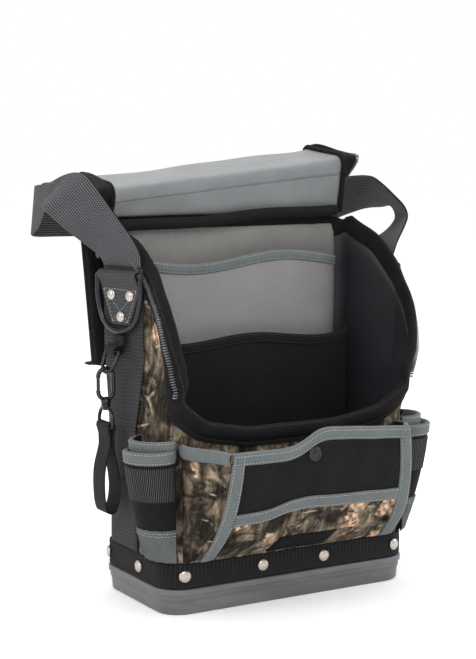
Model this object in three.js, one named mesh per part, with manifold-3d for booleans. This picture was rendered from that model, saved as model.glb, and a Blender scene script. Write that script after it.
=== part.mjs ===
// Electrician's tool pouch: a soft, open-topped bag on a moulded base tray, with its lid folded back.
// Millimetres. The origin is the centre of the base's underside: +X right, +Y back, +Z up.
import * as THREE from 'three';
import { mergeVertices } from 'three/addons/utils/BufferGeometryUtils.js';
import Module from 'manifold-3d';

const wasm = await Module();
wasm.setup();

// ---- driving dimensions ----

const GAP = 0.3; // between pieces that touch face to face
const SKIN_GAP = 0.9; // between the body's curved cloth and what is sewn over it

// Outline of the cloth body, seen from above
const HALF_WIDTH = 124;
const FRONT = -62;
const BACK = 60;
const FRONT_RADIUS = 22;
const BACK_RADIUS = 18;
const WALL = 3;

// Base tray and the riveted band above it
const TRAY_OVERHANG = 2;
const TRAY_RIM = 23;
const TRAY_FLOOR = 3;
const FLANGE_TOP = 44;
const FLANGE_WALL = 2.5;
const BAND_BOTTOM = 24;
const BAND_TOP = 46;
const BAND_THICKNESS = 1.4;
const BAND_RIVET_HEIGHT = 35;

// Webbing, cloth and binding thicknesses
const WEBBING = 1.6;
const CLOTH = 2.4;
const BINDING = 1.2;

// Front pocket
const POCKET_BOTTOM = 47;
const POCKET_DEPTH = 44;
const POCKET_RISE = 112;
const POCKET_START_Y = -66;
const POCKET_HALF_BOTTOM = 101;
const POCKET_HALF_TOP = 92;
const POCKET_SEAM = 109; // where its gussets meet the body, measured round the outline

// Side pockets, measured round the outline from the front centre
const SIDE_FRONT_SEAM = 114;
const SIDE_REAR_SEAM = 156;
const SIDE_TOP = 154;
const SIDE_BULGE = 18;
const PEN_REAR_SEAM = 143;
const PEN_TOP = 146;
const PEN_BULGE = 6.5;

// Lean of the open mouth: how far its front edges run to the right for each mm forward of SKEW_REAR
const SKEW = 0.25;
const SKEW_REAR = 40;
const SKEW_REACH = 57.2;
const SKEW_LOW = 156; // height where the lean starts
const SKEW_HIGH = 215; // height where it is full

// Side webbing, ring tabs and their rings
const STRAP_Y = 16;
const STRAP_HALF = 25;
const SIDE_WEBBING_TOP = 296.9;
const TAB_BAR_HEIGHT = 290;
const TAB_BOTTOM = 246;
const RING_WIRE = 2.4;
const RING_HALF = 28.5;
const RING_DROP = 50;

// Swivel hook hanging from the small ring on the left side
const SMALL_BAR_X = -140.8;
const SMALL_BAR_HEIGHT = 224;
const SMALL_RING_WIRE = 1.6;
const SMALL_RING_HALF = 12;
const SMALL_RING_DROP = 21;
const SMALL_RING_LEAN = 22;
const HOOK_HALF = 9;
const HOOK_THICKNESS = 5;

// Lid: three stiff stretches of one cloth panel, rolled back over the rear wall
const LID_ROOT = [50, 347];
const LID_FRONT_CORNER = [41, 378];
const LID_REAR_CORNER = [114, 388];
const LID_TIP = [82, 214];
const LID_TILT = 0.1; // rise of the folded lid for each mm to the right
const LID_THICKNESS = 5;
const LID_HINGE_GAP = 3.6;
const LID_HALF_ROOT = 123.5;
const LID_HALF = 126;
const GUSSET_DEPTH = 19;

// ---- materials ----

const finish = (color, roughness, metalness = 0) =>
  new THREE.MeshStandardMaterial({ color, roughness, metalness });
const trayPlastic = finish(0x6d6f70, 0.55);
const blackCloth = finish(0x242426, 0.9);
const woodlandCloth = finish(0x6b5d4f, 0.85);
const liningCloth = finish(0x7f8988, 0.8);
const meshCloth = finish(0x85857f, 0.9);
const bindingTape = finish(0x646b6b, 0.85);
const blackWebbing = finish(0x1b1b1d, 0.85);
const greyWebbing = finish(0x46494b, 0.8);
const zipperBlack = finish(0x17171a, 0.5);
const boardPlastic = finish(0x303234, 0.6);
const labelRubber = finish(0x0e0e10, 0.45);
const nickel = finish(0xb9aea4, 0.3, 1);
const blackMetal = finish(0x141416, 0.3, 1);

const pouch = new THREE.Group();

function add(name, geometry, material) {
  const mesh = new THREE.Mesh(geometry, material);
  mesh.name = name;
  geometry.computeVertexNormals();
  pouch.add(mesh);
  return mesh;
}

// ---- closed solids from points ----

// A solid from points and triangles, turned so that its faces point out.
function solid(points, faces) {
  let volume = 0;
  for (const [a, b, c] of faces) {
    volume += points[a].dot(points[b].clone().cross(points[c]));
  }
  const outward = volume > 0 ? faces : faces.map(([a, b, c]) => [a, c, b]);
  const geometry = new THREE.BufferGeometry();
  const flat = points.flatMap((p) => [p.x, p.y, p.z]);
  geometry.setAttribute('position', new THREE.Float32BufferAttribute(flat, 3));
  geometry.setIndex(outward.flat());
  return geometry;
}

const quad = (a, b, c, d) => [[a, b, c], [a, c, d]];

// Two grids of points, [column][row], joined round their edges. wrap joins the last column to the first.
function slab(front, back, wrap = false) {
  const columns = front.length;
  const rows = front[0].length;
  const points = [...front.flat(), ...back.flat()];
  const f = (i, j) => (i % columns) * rows + j;
  const k = (i, j) => columns * rows + f(i, j);
  const faces = [];
  for (let i = 0; i < (wrap ? columns : columns - 1); i++) {
    for (let j = 0; j < rows - 1; j++) {
      faces.push(...quad(f(i, j), f(i + 1, j), f(i + 1, j + 1), f(i, j + 1)));
      faces.push(...quad(k(i, j), k(i, j + 1), k(i + 1, j + 1), k(i + 1, j)));
    }
    faces.push(...quad(f(i + 1, 0), f(i, 0), k(i, 0), k(i + 1, 0)));
    faces.push(...quad(f(i, rows - 1), f(i + 1, rows - 1), k(i + 1, rows - 1), k(i, rows - 1)));
  }
  for (let j = 0; j < rows - 1 && !wrap; j++) {
    const last = columns - 1;
    faces.push(...quad(f(0, j), f(0, j + 1), k(0, j + 1), k(0, j)));
    faces.push(...quad(f(last, j + 1), f(last, j), k(last, j), k(last, j + 1)));
  }
  return solid(points, faces);
}

// Rings of points joined one after another. A closed set joins its last ring to its first.
function rings(list, closed = false) {
  const size = list[0].length;
  const points = list.flat();
  const faces = [];
  for (let i = 0; i < (closed ? list.length : list.length - 1); i++) {
    const here = i * size;
    const next = ((i + 1) % list.length) * size;
    for (let j = 0; j < size; j++) {
      const side = (j + 1) % size;
      faces.push(...quad(here + j, here + side, next + side, next + j));
    }
  }
  if (!closed) {
    for (const [ring, flip] of [[0, true], [list.length - 1, false]]) {
      const centre = new THREE.Vector3();
      list[ring].forEach((p) => centre.addScaledVector(p, 1 / size));
      const hub = points.push(centre) - 1;
      for (let j = 0; j < size; j++) {
        const a = ring * size + j;
        const b = ring * size + ((j + 1) % size);
        faces.push(flip ? [hub, b, a] : [hub, a, b]);
      }
    }
  }
  return solid(points, faces);
}

function welded(geometry) {
  geometry.deleteAttribute('normal');
  geometry.deleteAttribute('uv');
  return mergeVertices(geometry, 1e-4);
}

// A shape drawn in Y and Z, pulled along +X from x0.
function alongX(shape, x0, depth, curveSegments = 6) {
  const geometry = new THREE.ExtrudeGeometry(shape, { depth, bevelEnabled: false, curveSegments });
  const axes = new THREE.Matrix4().set(0, 0, 1, x0, 1, 0, 0, 0, 0, 1, 0, 0, 0, 0, 0, 1);
  return welded(geometry.applyMatrix4(axes));
}

// A shape drawn in X and Z, pulled along -Y from y0.
function alongY(shape, y0, depth, curveSegments = 6) {
  const geometry = new THREE.ExtrudeGeometry(shape, { depth, bevelEnabled: false, curveSegments });
  const axes = new THREE.Matrix4().set(1, 0, 0, 0, 0, 0, -1, y0, 0, 1, 0, 0, 0, 0, 0, 1);
  return welded(geometry.applyMatrix4(axes));
}

// A profile of [radius, height] turned about a line from origin along axis.
function turned(profile, sides, origin, axis) {
  const turn = new THREE.Quaternion().setFromUnitVectors(new THREE.Vector3(0, 0, 1), axis);
  return rings(profile.map(([radius, height]) => {
    const ring = [];
    for (let i = 0; i < sides; i++) {
      const angle = (2 * Math.PI * (i + 0.5)) / sides;
      const p = new THREE.Vector3(radius * Math.cos(angle), radius * Math.sin(angle), height);
      ring.push(p.applyQuaternion(turn).add(origin));
    }
    return ring;
  }));
}

// Round wire bent into a closed flat loop; flat is the normal of the loop's plane.
function wireLoop(path, flat, radius, sides) {
  return rings(path.map((p, i) => {
    const before = path[(i + path.length - 1) % path.length];
    const after = path[(i + 1) % path.length];
    const across = after.clone().sub(before).normalize().cross(flat);
    const ring = [];
    for (let j = 0; j < sides; j++) {
      const angle = (2 * Math.PI * (j + 0.5)) / sides;
      const spoke = across.clone().multiplyScalar(radius * Math.cos(angle));
      ring.push(p.clone().add(spoke).addScaledVector(flat, radius * Math.sin(angle)));
    }
    return ring;
  }), true);
}

// Flat webbing along stations of { at, width }, where width is half of it as a vector.
function webbing(stations, thickness, closed = false) {
  return rings(stations.map(({ at, width }, i) => {
    const count = stations.length;
    const before = stations[closed ? (i + count - 1) % count : Math.max(i - 1, 0)].at;
    const after = stations[closed ? (i + 1) % count : Math.min(i + 1, count - 1)].at;
    const normal = after.clone().sub(before).cross(width).normalize().multiplyScalar(thickness / 2);
    return [[1, 1], [-1, 1], [-1, -1], [1, -1]].map(([a, b]) =>
      at.clone().addScaledVector(width, a).addScaledVector(normal, b));
  }), closed);
}

// The same stations with more set between them.
const finer = (stations, count) => stations.flatMap((station, i) => {
  const next = stations[i + 1];
  return next
    ? steps(0, 1, count).slice(0, -1).map((t) => ({
      at: station.at.clone().lerp(next.at, t),
      width: station.width.clone().lerp(next.width, t),
    }))
    : [station];
});

function toManifold(geometry) {
  return new wasm.Manifold(new wasm.Mesh({
    numProp: 3,
    vertProperties: new Float32Array(geometry.attributes.position.array),
    triVerts: new Uint32Array(geometry.index.array),
  }));
}

function fromManifold(manifold) {
  const mesh = manifold.getMesh();
  const geometry = new THREE.BufferGeometry();
  geometry.setAttribute('position', new THREE.Float32BufferAttribute(mesh.vertProperties, 3));
  geometry.setIndex(Array.from(mesh.triVerts));
  return geometry;
}

const cut = (geometry, tools) =>
  fromManifold(tools.reduce((left, tool) => left.subtract(toManifold(tool)), toManifold(geometry)));
const join = (geometry, extra) =>
  fromManifold(extra.reduce((left, piece) => left.add(toManifold(piece)), toManifold(geometry)));

const mix = (a, b, t) => a + (b - a) * t;
const steps = (from, to, count) => Array.from({ length: count + 1 }, (_, i) => mix(from, to, i / count));

// A value read off a short list of [place, value] pairs, straight between them.
function between(pairs, place) {
  let i = 1;
  while (i < pairs.length - 1 && place > pairs[i][0]) {
    i++;
  }
  const [p0, v0] = pairs[i - 1];
  const [p1, v1] = pairs[i];
  return mix(v0, v1, Math.min(1, Math.max(0, (place - p0) / (p1 - p0))));
}

// ---- the body's surface ----

const FRONT_FLAT = HALF_WIDTH - FRONT_RADIUS;
const FRONT_ARC = (FRONT_RADIUS * Math.PI) / 2;
const SIDE_FLAT = BACK - BACK_RADIUS - (FRONT + FRONT_RADIUS);
const BACK_ARC = (BACK_RADIUS * Math.PI) / 2;
const SIDE_START = FRONT_FLAT + FRONT_ARC;
const SIDE_END = SIDE_START + SIDE_FLAT;
const BACK_START = SIDE_END + BACK_ARC;
const HALF_ROUND = BACK_START + HALF_WIDTH - BACK_RADIUS;

// Half-width of the body at each height: it widens upwards from the tray.
const halfWidth = (z) => between([[46, 126], [110, 126], [165, 127.5], [230, 131]], z);

// The open mouth leans to the right: its front edges run sideways by this much for each mm forward.
function skew(y, z) {
  const rise = THREE.MathUtils.clamp((z - SKEW_LOW) / (SKEW_HIGH - SKEW_LOW), 0, 1);
  return SKEW * rise * THREE.MathUtils.clamp(SKEW_REAR - y, 0, SKEW_REACH);
}

// A point on the body, s round it from the front centre (+ to the right), lift outwards.
function onBody(s, z, lift = 0) {
  const side = s < 0 ? -1 : 1;
  const d = Math.abs(s);
  let x = Math.min(d, FRONT_FLAT);
  let y = FRONT;
  let nx = 0;
  let ny = -1;
  if (d > BACK_START) {
    x = HALF_ROUND - d;
    y = BACK;
    ny = 1;
  } else if (d > SIDE_END) {
    const angle = (d - SIDE_END) / BACK_RADIUS;
    [nx, ny] = [Math.cos(angle), Math.sin(angle)];
    x = HALF_WIDTH - BACK_RADIUS + BACK_RADIUS * nx;
    y = BACK - BACK_RADIUS + BACK_RADIUS * ny;
  } else if (d > SIDE_START) {
    [nx, ny] = [1, 0];
    x = HALF_WIDTH;
    y = FRONT + FRONT_RADIUS + d - SIDE_START;
  } else if (d > FRONT_FLAT) {
    const angle = (d - FRONT_FLAT) / FRONT_RADIUS;
    [nx, ny] = [Math.sin(angle), -Math.cos(angle)];
    x = FRONT_FLAT + FRONT_RADIUS * nx;
    y = FRONT + FRONT_RADIUS + FRONT_RADIUS * ny;
  }
  const scale = halfWidth(z) / HALF_WIDTH;
  return new THREE.Vector3(side * (x * scale + nx * lift) + skew(y, z), y + ny * lift, z);
}

const outwardAt = (s) => onBody(s, BAND_RIVET_HEIGHT, 1).sub(onBody(s, BAND_RIVET_HEIGHT)).normalize();

// Height of the cloth's free edge: low across the front, sweeping up each side to the rear wall.
const EDGE = [[46, 152], [88, 160], [102, 168.5], [114, 178], [124, 189], [132, 205], [136, 222], [140, 236],
  [148, 254], [166, 276], [188, 301], [228, 322], [253, 331]];
const edgeHeight = (s) => between(EDGE, Math.abs(s));

// Columns round the whole body, closer together on its corners.
const halfColumns = [
  ...steps(0, FRONT_FLAT, 3),
  ...steps(FRONT_FLAT, SIDE_START, 6).slice(1),
  ...steps(SIDE_START, SIDE_END, 5).slice(1),
  ...steps(SIDE_END, BACK_START, 4).slice(1),
  ...steps(BACK_START, HALF_ROUND, 2).slice(1),
];
const COLUMNS = [...halfColumns, ...halfColumns.slice(1, -1).reverse().map((s) => -s)];

// A patch lying on the body between two limits of s, from a lower to an upper height.
function bodyPatch(columns, low, high, lift, thickness, rows = 1, wrap = false) {
  const layer = (raise) => columns.map((s) =>
    steps(low(s), high(s), rows).map((z) => onBody(s, z, raise)));
  return slab(layer(lift + thickness), layer(lift), wrap);
}

// ---- rivets and their holes ----

const RIVET_HEAD = 5.2;
const RIVET_SHANK = 1.9;
const RIVET_HOLE = 2.35;

// A domed rivet through layers on the body; outer and inner are the lifts of the stack's two faces.
function rivet(s, z, outer, inner, axis = outwardAt(s)) {
  const head = outer + GAP;
  const tail = inner - 4 * GAP;
  const profile = [[3.2, tail - 1.2], [3.2, tail], [RIVET_SHANK, tail], [RIVET_SHANK, head],
    [RIVET_HEAD, head], [RIVET_HEAD * 0.86, head + 1.5], [RIVET_HEAD * 0.45, head + 2.5]];
  return turned(profile, 12, onBody(s, z), axis);
}

const rivetHole = (s, z, axis = outwardAt(s)) =>
  turned([[RIVET_HOLE, -12], [RIVET_HOLE, 14]], 8, onBody(s, z), axis);

// ---- base tray, band and body ----

const bandRivets = [32, 107, 164, 223, 311].flatMap((s) => [-s, s]);
const bandHoles = bandRivets.map((s) => rivetHole(s, BAND_RIVET_HEIGHT));

const traySteps = [[0, 5], [1.2, 4], [12, 3.2], [12.6, 2.2], [17.5, 1.8], [18.1, 0.6], [TRAY_RIM, 0]];
const trayRing = (z, lift) => COLUMNS.map((s) => onBody(s, z, lift));
const flangeFace = -WALL - GAP;
const tray = rings([
  ...traySteps.map(([z, inset]) => trayRing(z, TRAY_OVERHANG + 1 - inset)),
  trayRing(TRAY_RIM, flangeFace),
  trayRing(FLANGE_TOP, flangeFace),
  trayRing(FLANGE_TOP, flangeFace - FLANGE_WALL),
  trayRing(TRAY_FLOOR, flangeFace - FLANGE_WALL),
]);
add('base_tray', cut(tray, bandHoles), trayPlastic);

const band = bodyPatch(COLUMNS, () => BAND_BOTTOM, () => BAND_TOP, GAP, BAND_THICKNESS, 1, true);
add('base_band', cut(band, bandHoles), blackWebbing);
bandRivets.forEach((s, i) => {
  const geometry = rivet(s, BAND_RIVET_HEIGHT, GAP + BAND_THICKNESS, flangeFace - FLANGE_WALL);
  add(`band_rivet_${i + 1}`, geometry, nickel);
});

// Rivets of the ring tabs: two above and one below on each side
const tabRivetPlaces = [[-12, 272], [12, 272], [0, 253]];
const sideAt = (y) => SIDE_START + y - (FRONT + FRONT_RADIUS);
const tabRivets = [-1, 1].flatMap((side) =>
  tabRivetPlaces.map(([dy, z]) => [side * sideAt(STRAP_Y + dy), z]));
// The side walls stand turned by the mouth's skew where the tabs sit, and the tabs' rivets with them.
const WALL_TURN = Math.atan(SKEW);
const wallAxis = (s) => outwardAt(s).applyAxisAngle(new THREE.Vector3(0, 0, 1), WALL_TURN);
const tabHoles = tabRivets.map(([s, z]) => rivetHole(s, z, wallAxis(s)));

// Rows of each column, with one at each height where the body's slope changes.
const STRAIGHT_ROWS = [TRAY_RIM + GAP, BAND_TOP, 100];
function bodyLayer(lift) {
  return COLUMNS.map((s) => {
    const top = edgeHeight(s);
    const low = Math.min(SKEW_LOW, mix(100, top, 0.6));
    const high = Math.min(SKEW_HIGH, mix(low, top, 0.55));
    const widest = Math.min(230, mix(low, top, 0.7));
    return [...STRAIGHT_ROWS, low, high, widest, top].map((z) => onBody(s, z, lift));
  });
}
const shell = slab(bodyLayer(0), bodyLayer(-WALL), true);
add('body_shell', cut(shell, [...bandHoles, ...tabHoles]), woodlandCloth);

// ---- zipper round the opening ----

const ZIP_END = 217.4;
const zipColumns = [...halfColumns.filter((s) => s > 0 && s < ZIP_END - 4), ZIP_END];
const ZIP_COLUMNS = [...zipColumns.slice().reverse().map((s) => -s), 0, ...zipColumns];

// A point off the cloth's edge, rise measured square to the edge in the body's surface.
function offEdge(s, rise, lift) {
  const slope = (edgeHeight(s + 3) - edgeHeight(s - 3)) / 6;
  const length = Math.hypot(slope, 1);
  return onBody(s - (slope / length) * rise, edgeHeight(s) + rise / length, lift);
}

function edgeStrip(columns, low, high, lift, thickness) {
  const layer = (raise) => columns.map((s) => [offEdge(s, low, raise), offEdge(s, high, raise)]);
  return slab(layer(lift + thickness), layer(lift));
}
add('zip_tape', edgeStrip(ZIP_COLUMNS, GAP, 9.6, -2.2, 1.4), blackCloth);
add('zip_chain', edgeStrip(ZIP_COLUMNS, 10.2, 12.9, -2.9, 2.8), zipperBlack);

// ---- inside: stiff back board, mesh panel and three tiers of pockets ----

const box = (x0, x1, y0, y1, z0, z1) => welded(new THREE.BoxGeometry(x1 - x0, y1 - y0, z1 - z0)
  .translate((x0 + x1) / 2, (y0 + y1) / 2, (z0 + z1) / 2));
const insideBack = BACK - WALL;
add('back_board', box(-103, 103, insideBack - 2.5, insideBack - 0.5, FLANGE_TOP + 2, 322), boardPlastic);
add('mesh_panel', box(-110, 110, insideBack - 5, insideBack - 3, FLANGE_TOP + 2, 326), meshCloth);

// A cloth pocket box open at its top; topAt gives its rim height across its width.
function tier(name, half, y0, y1, bottom, topAt, material) {
  const wall = 1.8;
  const ring = (inset, height) => {
    const across = steps(-half + inset, half - inset, 8);
    const frontSide = across.map((x) => new THREE.Vector3(x, y0 + inset, height(x)));
    const backSide = across.reverse().map((x) => new THREE.Vector3(x, y1 - inset, height(x)));
    return [...frontSide, ...backSide];
  };
  const geometry = rings([
    ring(0, () => bottom), ring(0, topAt), ring(wall, topAt), ring(wall, () => bottom + wall),
  ]);
  add(name, geometry, material);
}
tier('tier_top', 108, 31, insideBack - 5.5, 170, (x) => 299 + 5 * Math.sin(x / 30), liningCloth);
tier('tier_middle', 108, 8, 30, 70, (x) => 228 + 3 * Math.cos(x / 24), blackCloth);
tier('tier_front', 86, -55, -36, 50, () => 148, blackCloth);

// ---- front pocket ----

const POCKET_TOP = [[-92, 148], [-34, 147], [-22, 152], [-8, 160], [4, 162], [30, 160], [92, 155]];
const pocketTop = (x) => between(POCKET_TOP, x);
const pocketHalf = (z) => mix(POCKET_HALF_BOTTOM, POCKET_HALF_TOP, (z - POCKET_BOTTOM) / 105);
const pocketBulge = (z) => POCKET_DEPTH * (1 - (1 - (z - POCKET_BOTTOM) / POCKET_RISE) ** 3);

// A point on the pocket's outer face: a from -1 to 1 across it, lift outwards.
const onPocket = (a, z, lift = 0) =>
  new THREE.Vector3(a * pocketHalf(z), POCKET_START_Y - CLOTH - pocketBulge(z) - lift, z);

const pocketRows = (top) => steps(POCKET_BOTTOM, top, 7);
const seamTop = 150;
function pocketColumn(kind, side, inner) {
  if (kind === 'seam') {
    return pocketRows(seamTop).map((z) => onBody(side * (POCKET_SEAM - inner), z, SKIN_GAP));
  }
  return pocketRows(pocketTop(side * POCKET_HALF_TOP)).map((z) => {
    const seam = onBody(side * POCKET_SEAM, z, SKIN_GAP);
    const corner = onPocket(side, z);
    const fold = kind === 'pleat' ? seam.lerp(corner, 0.5).setX(seam.x + side * 3) : corner;
    return fold.add(new THREE.Vector3(-side * inner, kind === 'corner' ? inner : 0, 0));
  });
}
function pocketLayer(inner) {
  const face = steps(-1, 1, 14).slice(1, -1).map((a) =>
    pocketRows(pocketTop(a * POCKET_HALF_TOP)).map((z) => onPocket(a, z, -inner)));
  return [
    pocketColumn('seam', -1, inner), pocketColumn('pleat', -1, inner), pocketColumn('corner', -1, inner),
    ...face,
    pocketColumn('corner', 1, inner), pocketColumn('pleat', 1, inner), pocketColumn('seam', 1, inner),
  ];
}
add('front_pocket', slab(pocketLayer(0), pocketLayer(CLOTH)), woodlandCloth);

// A strip on the pocket's face between two heights.
function pocketPatch(from, to, count, low, high, lift, thickness, rows = 1) {
  const layer = (raise) => steps(from, to, count).map((a) =>
    steps(low(a), high(a), rows).map((z) => onPocket(a, z, raise)));
  return slab(layer(lift + thickness), layer(lift));
}
const topAt = (a) => pocketTop(a * POCKET_HALF_TOP);
const LOWER_BINDING = [[-0.92, 88], [-0.55, 89], [-0.35, 95], [-0.08, 98], [0.07, 96], [0.86, 94]];
const lowerBinding = (a) => between(LOWER_BINDING, a);
const faceLimit = 0.85;
add('front_pocket_top_binding',
  pocketPatch(-0.99, 0.99, 14, (a) => topAt(a) - 10, (a) => topAt(a) - 0.4, SKIN_GAP, BINDING), bindingTape);
add('front_pocket_lower_binding',
  pocketPatch(-faceLimit, faceLimit, 14, (a) => lowerBinding(a) - 5, (a) => lowerBinding(a) + 5,
    SKIN_GAP, BINDING), bindingTape);
for (const [word, side] of [['left', -1], ['right', 1]]) {
  const edge = [0.87, 0.99].map((a) => side * a);
  add(`front_pocket_${word}_binding`,
    pocketPatch(...edge, 1, () => POCKET_BOTTOM + 1, (a) => topAt(a) - 10.5, SKIN_GAP, BINDING, 7),
    bindingTape);
}
const LABEL = [[-34, 49], [24, 49], [31, 63], [-27, 63]];
const labelLayer = (lift) => [[LABEL[0], LABEL[3]], [LABEL[1], LABEL[2]]].map((pair) =>
  pair.map(([x, z]) => onPocket(x / pocketHalf(z), z, lift)));
add('label', slab(labelLayer(2.6), labelLayer(1.4)), labelRubber);
const snapCentre = onPocket(-0.12, 141);
const snap = turned([[6, 2.4], [6, 3.2], [4.6, 4.2]], 16, snapCentre, new THREE.Vector3(0, -1, 0));
add('snap_cap', snap, blackMetal);

// ---- side pockets and pen pockets ----

const bulgeAt = (z, depth) => depth * (1 - (1 - (z - POCKET_BOTTOM) / (SIDE_TOP - POCKET_BOTTOM)) ** 2);
const arc = (s, from, to) => Math.sin((Math.PI * (s - from)) / (to - from)) ** 0.7;
const sideBulge = (s, z) => SKIN_GAP + bulgeAt(z, SIDE_BULGE) * arc(s, SIDE_FRONT_SEAM, SIDE_REAR_SEAM);
const penBulge = (s, z) => sideBulge(s, z) + CLOTH + SKIN_GAP
  + bulgeAt(z, PEN_BULGE) * arc(s, SIDE_FRONT_SEAM, PEN_REAR_SEAM);

function bulgedPocket(side, from, to, count, low, high, lift, thickness, rows) {
  const layer = (raise) => steps(from, to, count).map((s) =>
    steps(low, high, rows).map((z) => onBody(side * s, z, lift(s, z) + raise)));
  return slab(layer(thickness), layer(0));
}
for (const [word, side] of [['left', -1], ['right', 1]]) {
  add(`side_pocket_${word}`,
    bulgedPocket(side, SIDE_FRONT_SEAM, SIDE_REAR_SEAM, 12, POCKET_BOTTOM, SIDE_TOP, sideBulge, CLOTH, 6),
    blackCloth);
  add(`pen_pocket_${word}`,
    bulgedPocket(side, SIDE_FRONT_SEAM + 1, PEN_REAR_SEAM, 9, POCKET_BOTTOM, PEN_TOP, penBulge, 1.8, 6),
    blackCloth);
}

// ---- side webbing, ring tabs and D-rings ----

const webbingFrom = sideAt(STRAP_Y - STRAP_HALF);
const webbingTo = sideAt(STRAP_Y + STRAP_HALF);
const LEFT_X = -halfWidth(TAB_BAR_HEIGHT);
const tabLoopRadius = RING_WIRE + 0.4 + WEBBING;
const tabBack = SKIN_GAP + WEBBING + GAP;
const tabFace = tabBack + 2 * WEBBING;
const BAR_LIFT = tabBack + tabLoopRadius;

// Webbing folded over a bar, as an outline in X and Z for the left side.
function foldedTab(barX, barZ, hole, outer, wallX, plateX, plateEnd, up) {
  const shape = new THREE.Shape();
  shape.moveTo(wallX, plateEnd);
  shape.lineTo(wallX, barZ);
  shape.absarc(barX, barZ, outer, 0, up ? Math.PI : -Math.PI, !up);
  shape.lineTo(plateX, barZ - (up ? 1 : -1) * outer * 1.7);
  shape.lineTo(plateX, plateEnd);
  shape.closePath();
  const bore = new THREE.Path();
  bore.absarc(barX, barZ, hole, 0, 2 * Math.PI, false);
  shape.holes.push(bore);
  return shape;
}

// The tab's outline seen from the side: full width at the bar, tapering to a blunt tongue.
function tongue() {
  const shape = new THREE.Shape();
  shape.moveTo(STRAP_Y - STRAP_HALF, 300);
  shape.lineTo(STRAP_Y - STRAP_HALF, 276);
  shape.lineTo(STRAP_Y - 12, TAB_BOTTOM);
  shape.lineTo(STRAP_Y + 12, TAB_BOTTOM);
  shape.lineTo(STRAP_Y + STRAP_HALF, 276);
  shape.lineTo(STRAP_Y + STRAP_HALF, 300);
  return shape;
}

// A D-ring hanging from its bar, drawn flat in Y and Z about the middle of the bar.
function ringPath(half, drop) {
  const bend = new THREE.CatmullRomCurve3([
    new THREE.Vector3(0, half, -3), new THREE.Vector3(0, half * 0.98, -drop * 0.45),
    new THREE.Vector3(0, half * 0.68, -drop * 0.85), new THREE.Vector3(0, 0, -drop),
    new THREE.Vector3(0, -half * 0.68, -drop * 0.85), new THREE.Vector3(0, -half * 0.98, -drop * 0.45),
    new THREE.Vector3(0, -half, -3),
  ]);
  const bar = steps(-half + 2, half - 2, 4).map((y) => new THREE.Vector3(0, y, 0));
  return [...bar, ...bend.getPoints(16)];
}

const acrossX = new THREE.Vector3(1, 0, 0);
const mirrored = (geometry) => {
  const copy = geometry.clone();
  const index = Array.from(copy.index.array);
  for (let i = 0; i < index.length; i += 3) {
    [index[i], index[i + 1]] = [index[i + 1], index[i]];
  }
  copy.applyMatrix4(new THREE.Matrix4().makeScale(-1, 1, 1));
  copy.setIndex(index);
  return copy;
};

const barX = LEFT_X - BAR_LIFT;
const tabProfile = foldedTab(barX, TAB_BAR_HEIGHT, RING_WIRE + 0.4, tabLoopRadius,
  LEFT_X - tabBack, LEFT_X - tabFace, TAB_BOTTOM, true);
const tabBlank = alongY(tabProfile, STRAP_Y + STRAP_HALF, 2 * STRAP_HALF);
const tabOutline = alongX(tongue(), barX - 10, 30);
const leftTab = fromManifold(toManifold(tabBlank).intersect(toManifold(tabOutline)));
const ring = wireLoop(ringPath(RING_HALF, RING_DROP), acrossX, RING_WIRE, 8)
  .translate(barX, STRAP_Y, TAB_BAR_HEIGHT);

// A piece made for a straight left wall, set on the turned wall of either side.
function onWall(geometry, side) {
  const piece = side < 0 ? geometry.clone() : mirrored(geometry);
  return piece.translate(side * LEFT_X, -STRAP_Y, 0).rotateZ(WALL_TURN)
    .translate(side * -LEFT_X + skew(STRAP_Y, TAB_BAR_HEIGHT), STRAP_Y, 0);
}

const webbingRows = [POCKET_BOTTOM, 100, SKEW_LOW, SKEW_HIGH, 230, SIDE_WEBBING_TOP];
for (const [word, side] of [['left', -1], ['right', 1]]) {
  const columns = steps(side * webbingFrom, side * webbingTo, 4);
  const layer = (lift) => columns.map((s) => webbingRows.map((z) => onBody(s, z, lift)));
  const strip = slab(layer(SKIN_GAP + WEBBING), layer(SKIN_GAP));
  add(`side_webbing_${word}`, cut(strip, tabHoles), greyWebbing);
  add(`ring_tab_${word}`, cut(onWall(leftTab, side), tabHoles), greyWebbing);
  add(`ring_${word}`, onWall(ring, side), blackMetal);
}
tabRivets.forEach(([s, z], i) => add(`tab_rivet_${i + 1}`, rivet(s, z, tabFace, -WALL, wallAxis(s)), nickel));

// ---- swivel hook and the tape strap, on the left ----

const smallLift = -SMALL_BAR_X - halfWidth(SMALL_BAR_HEIGHT);
const smallOuter = smallLift - tabBack;
const SMALL_TAB_HALF = 9;
const smallShift = skew(STRAP_Y + SMALL_TAB_HALF, SMALL_BAR_HEIGHT);
const SMALL_X = SMALL_BAR_X + smallShift;
const smallProfile = foldedTab(SMALL_X, SMALL_BAR_HEIGHT, SMALL_RING_WIRE + 0.4, smallOuter,
  LEFT_X + smallShift - tabBack + 0.2, LEFT_X + smallShift - tabFace, 236.8, false);
add('small_ring_tab', alongY(smallProfile, STRAP_Y + SMALL_TAB_HALF, 2 * SMALL_TAB_HALF), blackWebbing);

const lean = THREE.MathUtils.degToRad(SMALL_RING_LEAN);
const smallRing = wireLoop(ringPath(SMALL_RING_HALF, SMALL_RING_DROP), acrossX, SMALL_RING_WIRE, 8)
  .rotateY(lean)
  .translate(SMALL_X, STRAP_Y, SMALL_BAR_HEIGHT);
add('small_ring', smallRing, blackMetal);

const HOOK_X = SMALL_X - SMALL_RING_DROP * Math.sin(lean);
const HOOK_TOP = SMALL_BAR_HEIGHT - SMALL_RING_DROP * Math.cos(lean);
const hookInner = HOOK_HALF - 3.4;
const upperArc = HOOK_TOP + SMALL_RING_WIRE + 0.4 - hookInner;
const lowerArc = upperArc - 13;
const GATE_X = HOOK_X - HOOK_HALF + 1.7;
const GATE_PIVOT = lowerArc - 1;
const GATE_LENGTH = 12.5;

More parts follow.
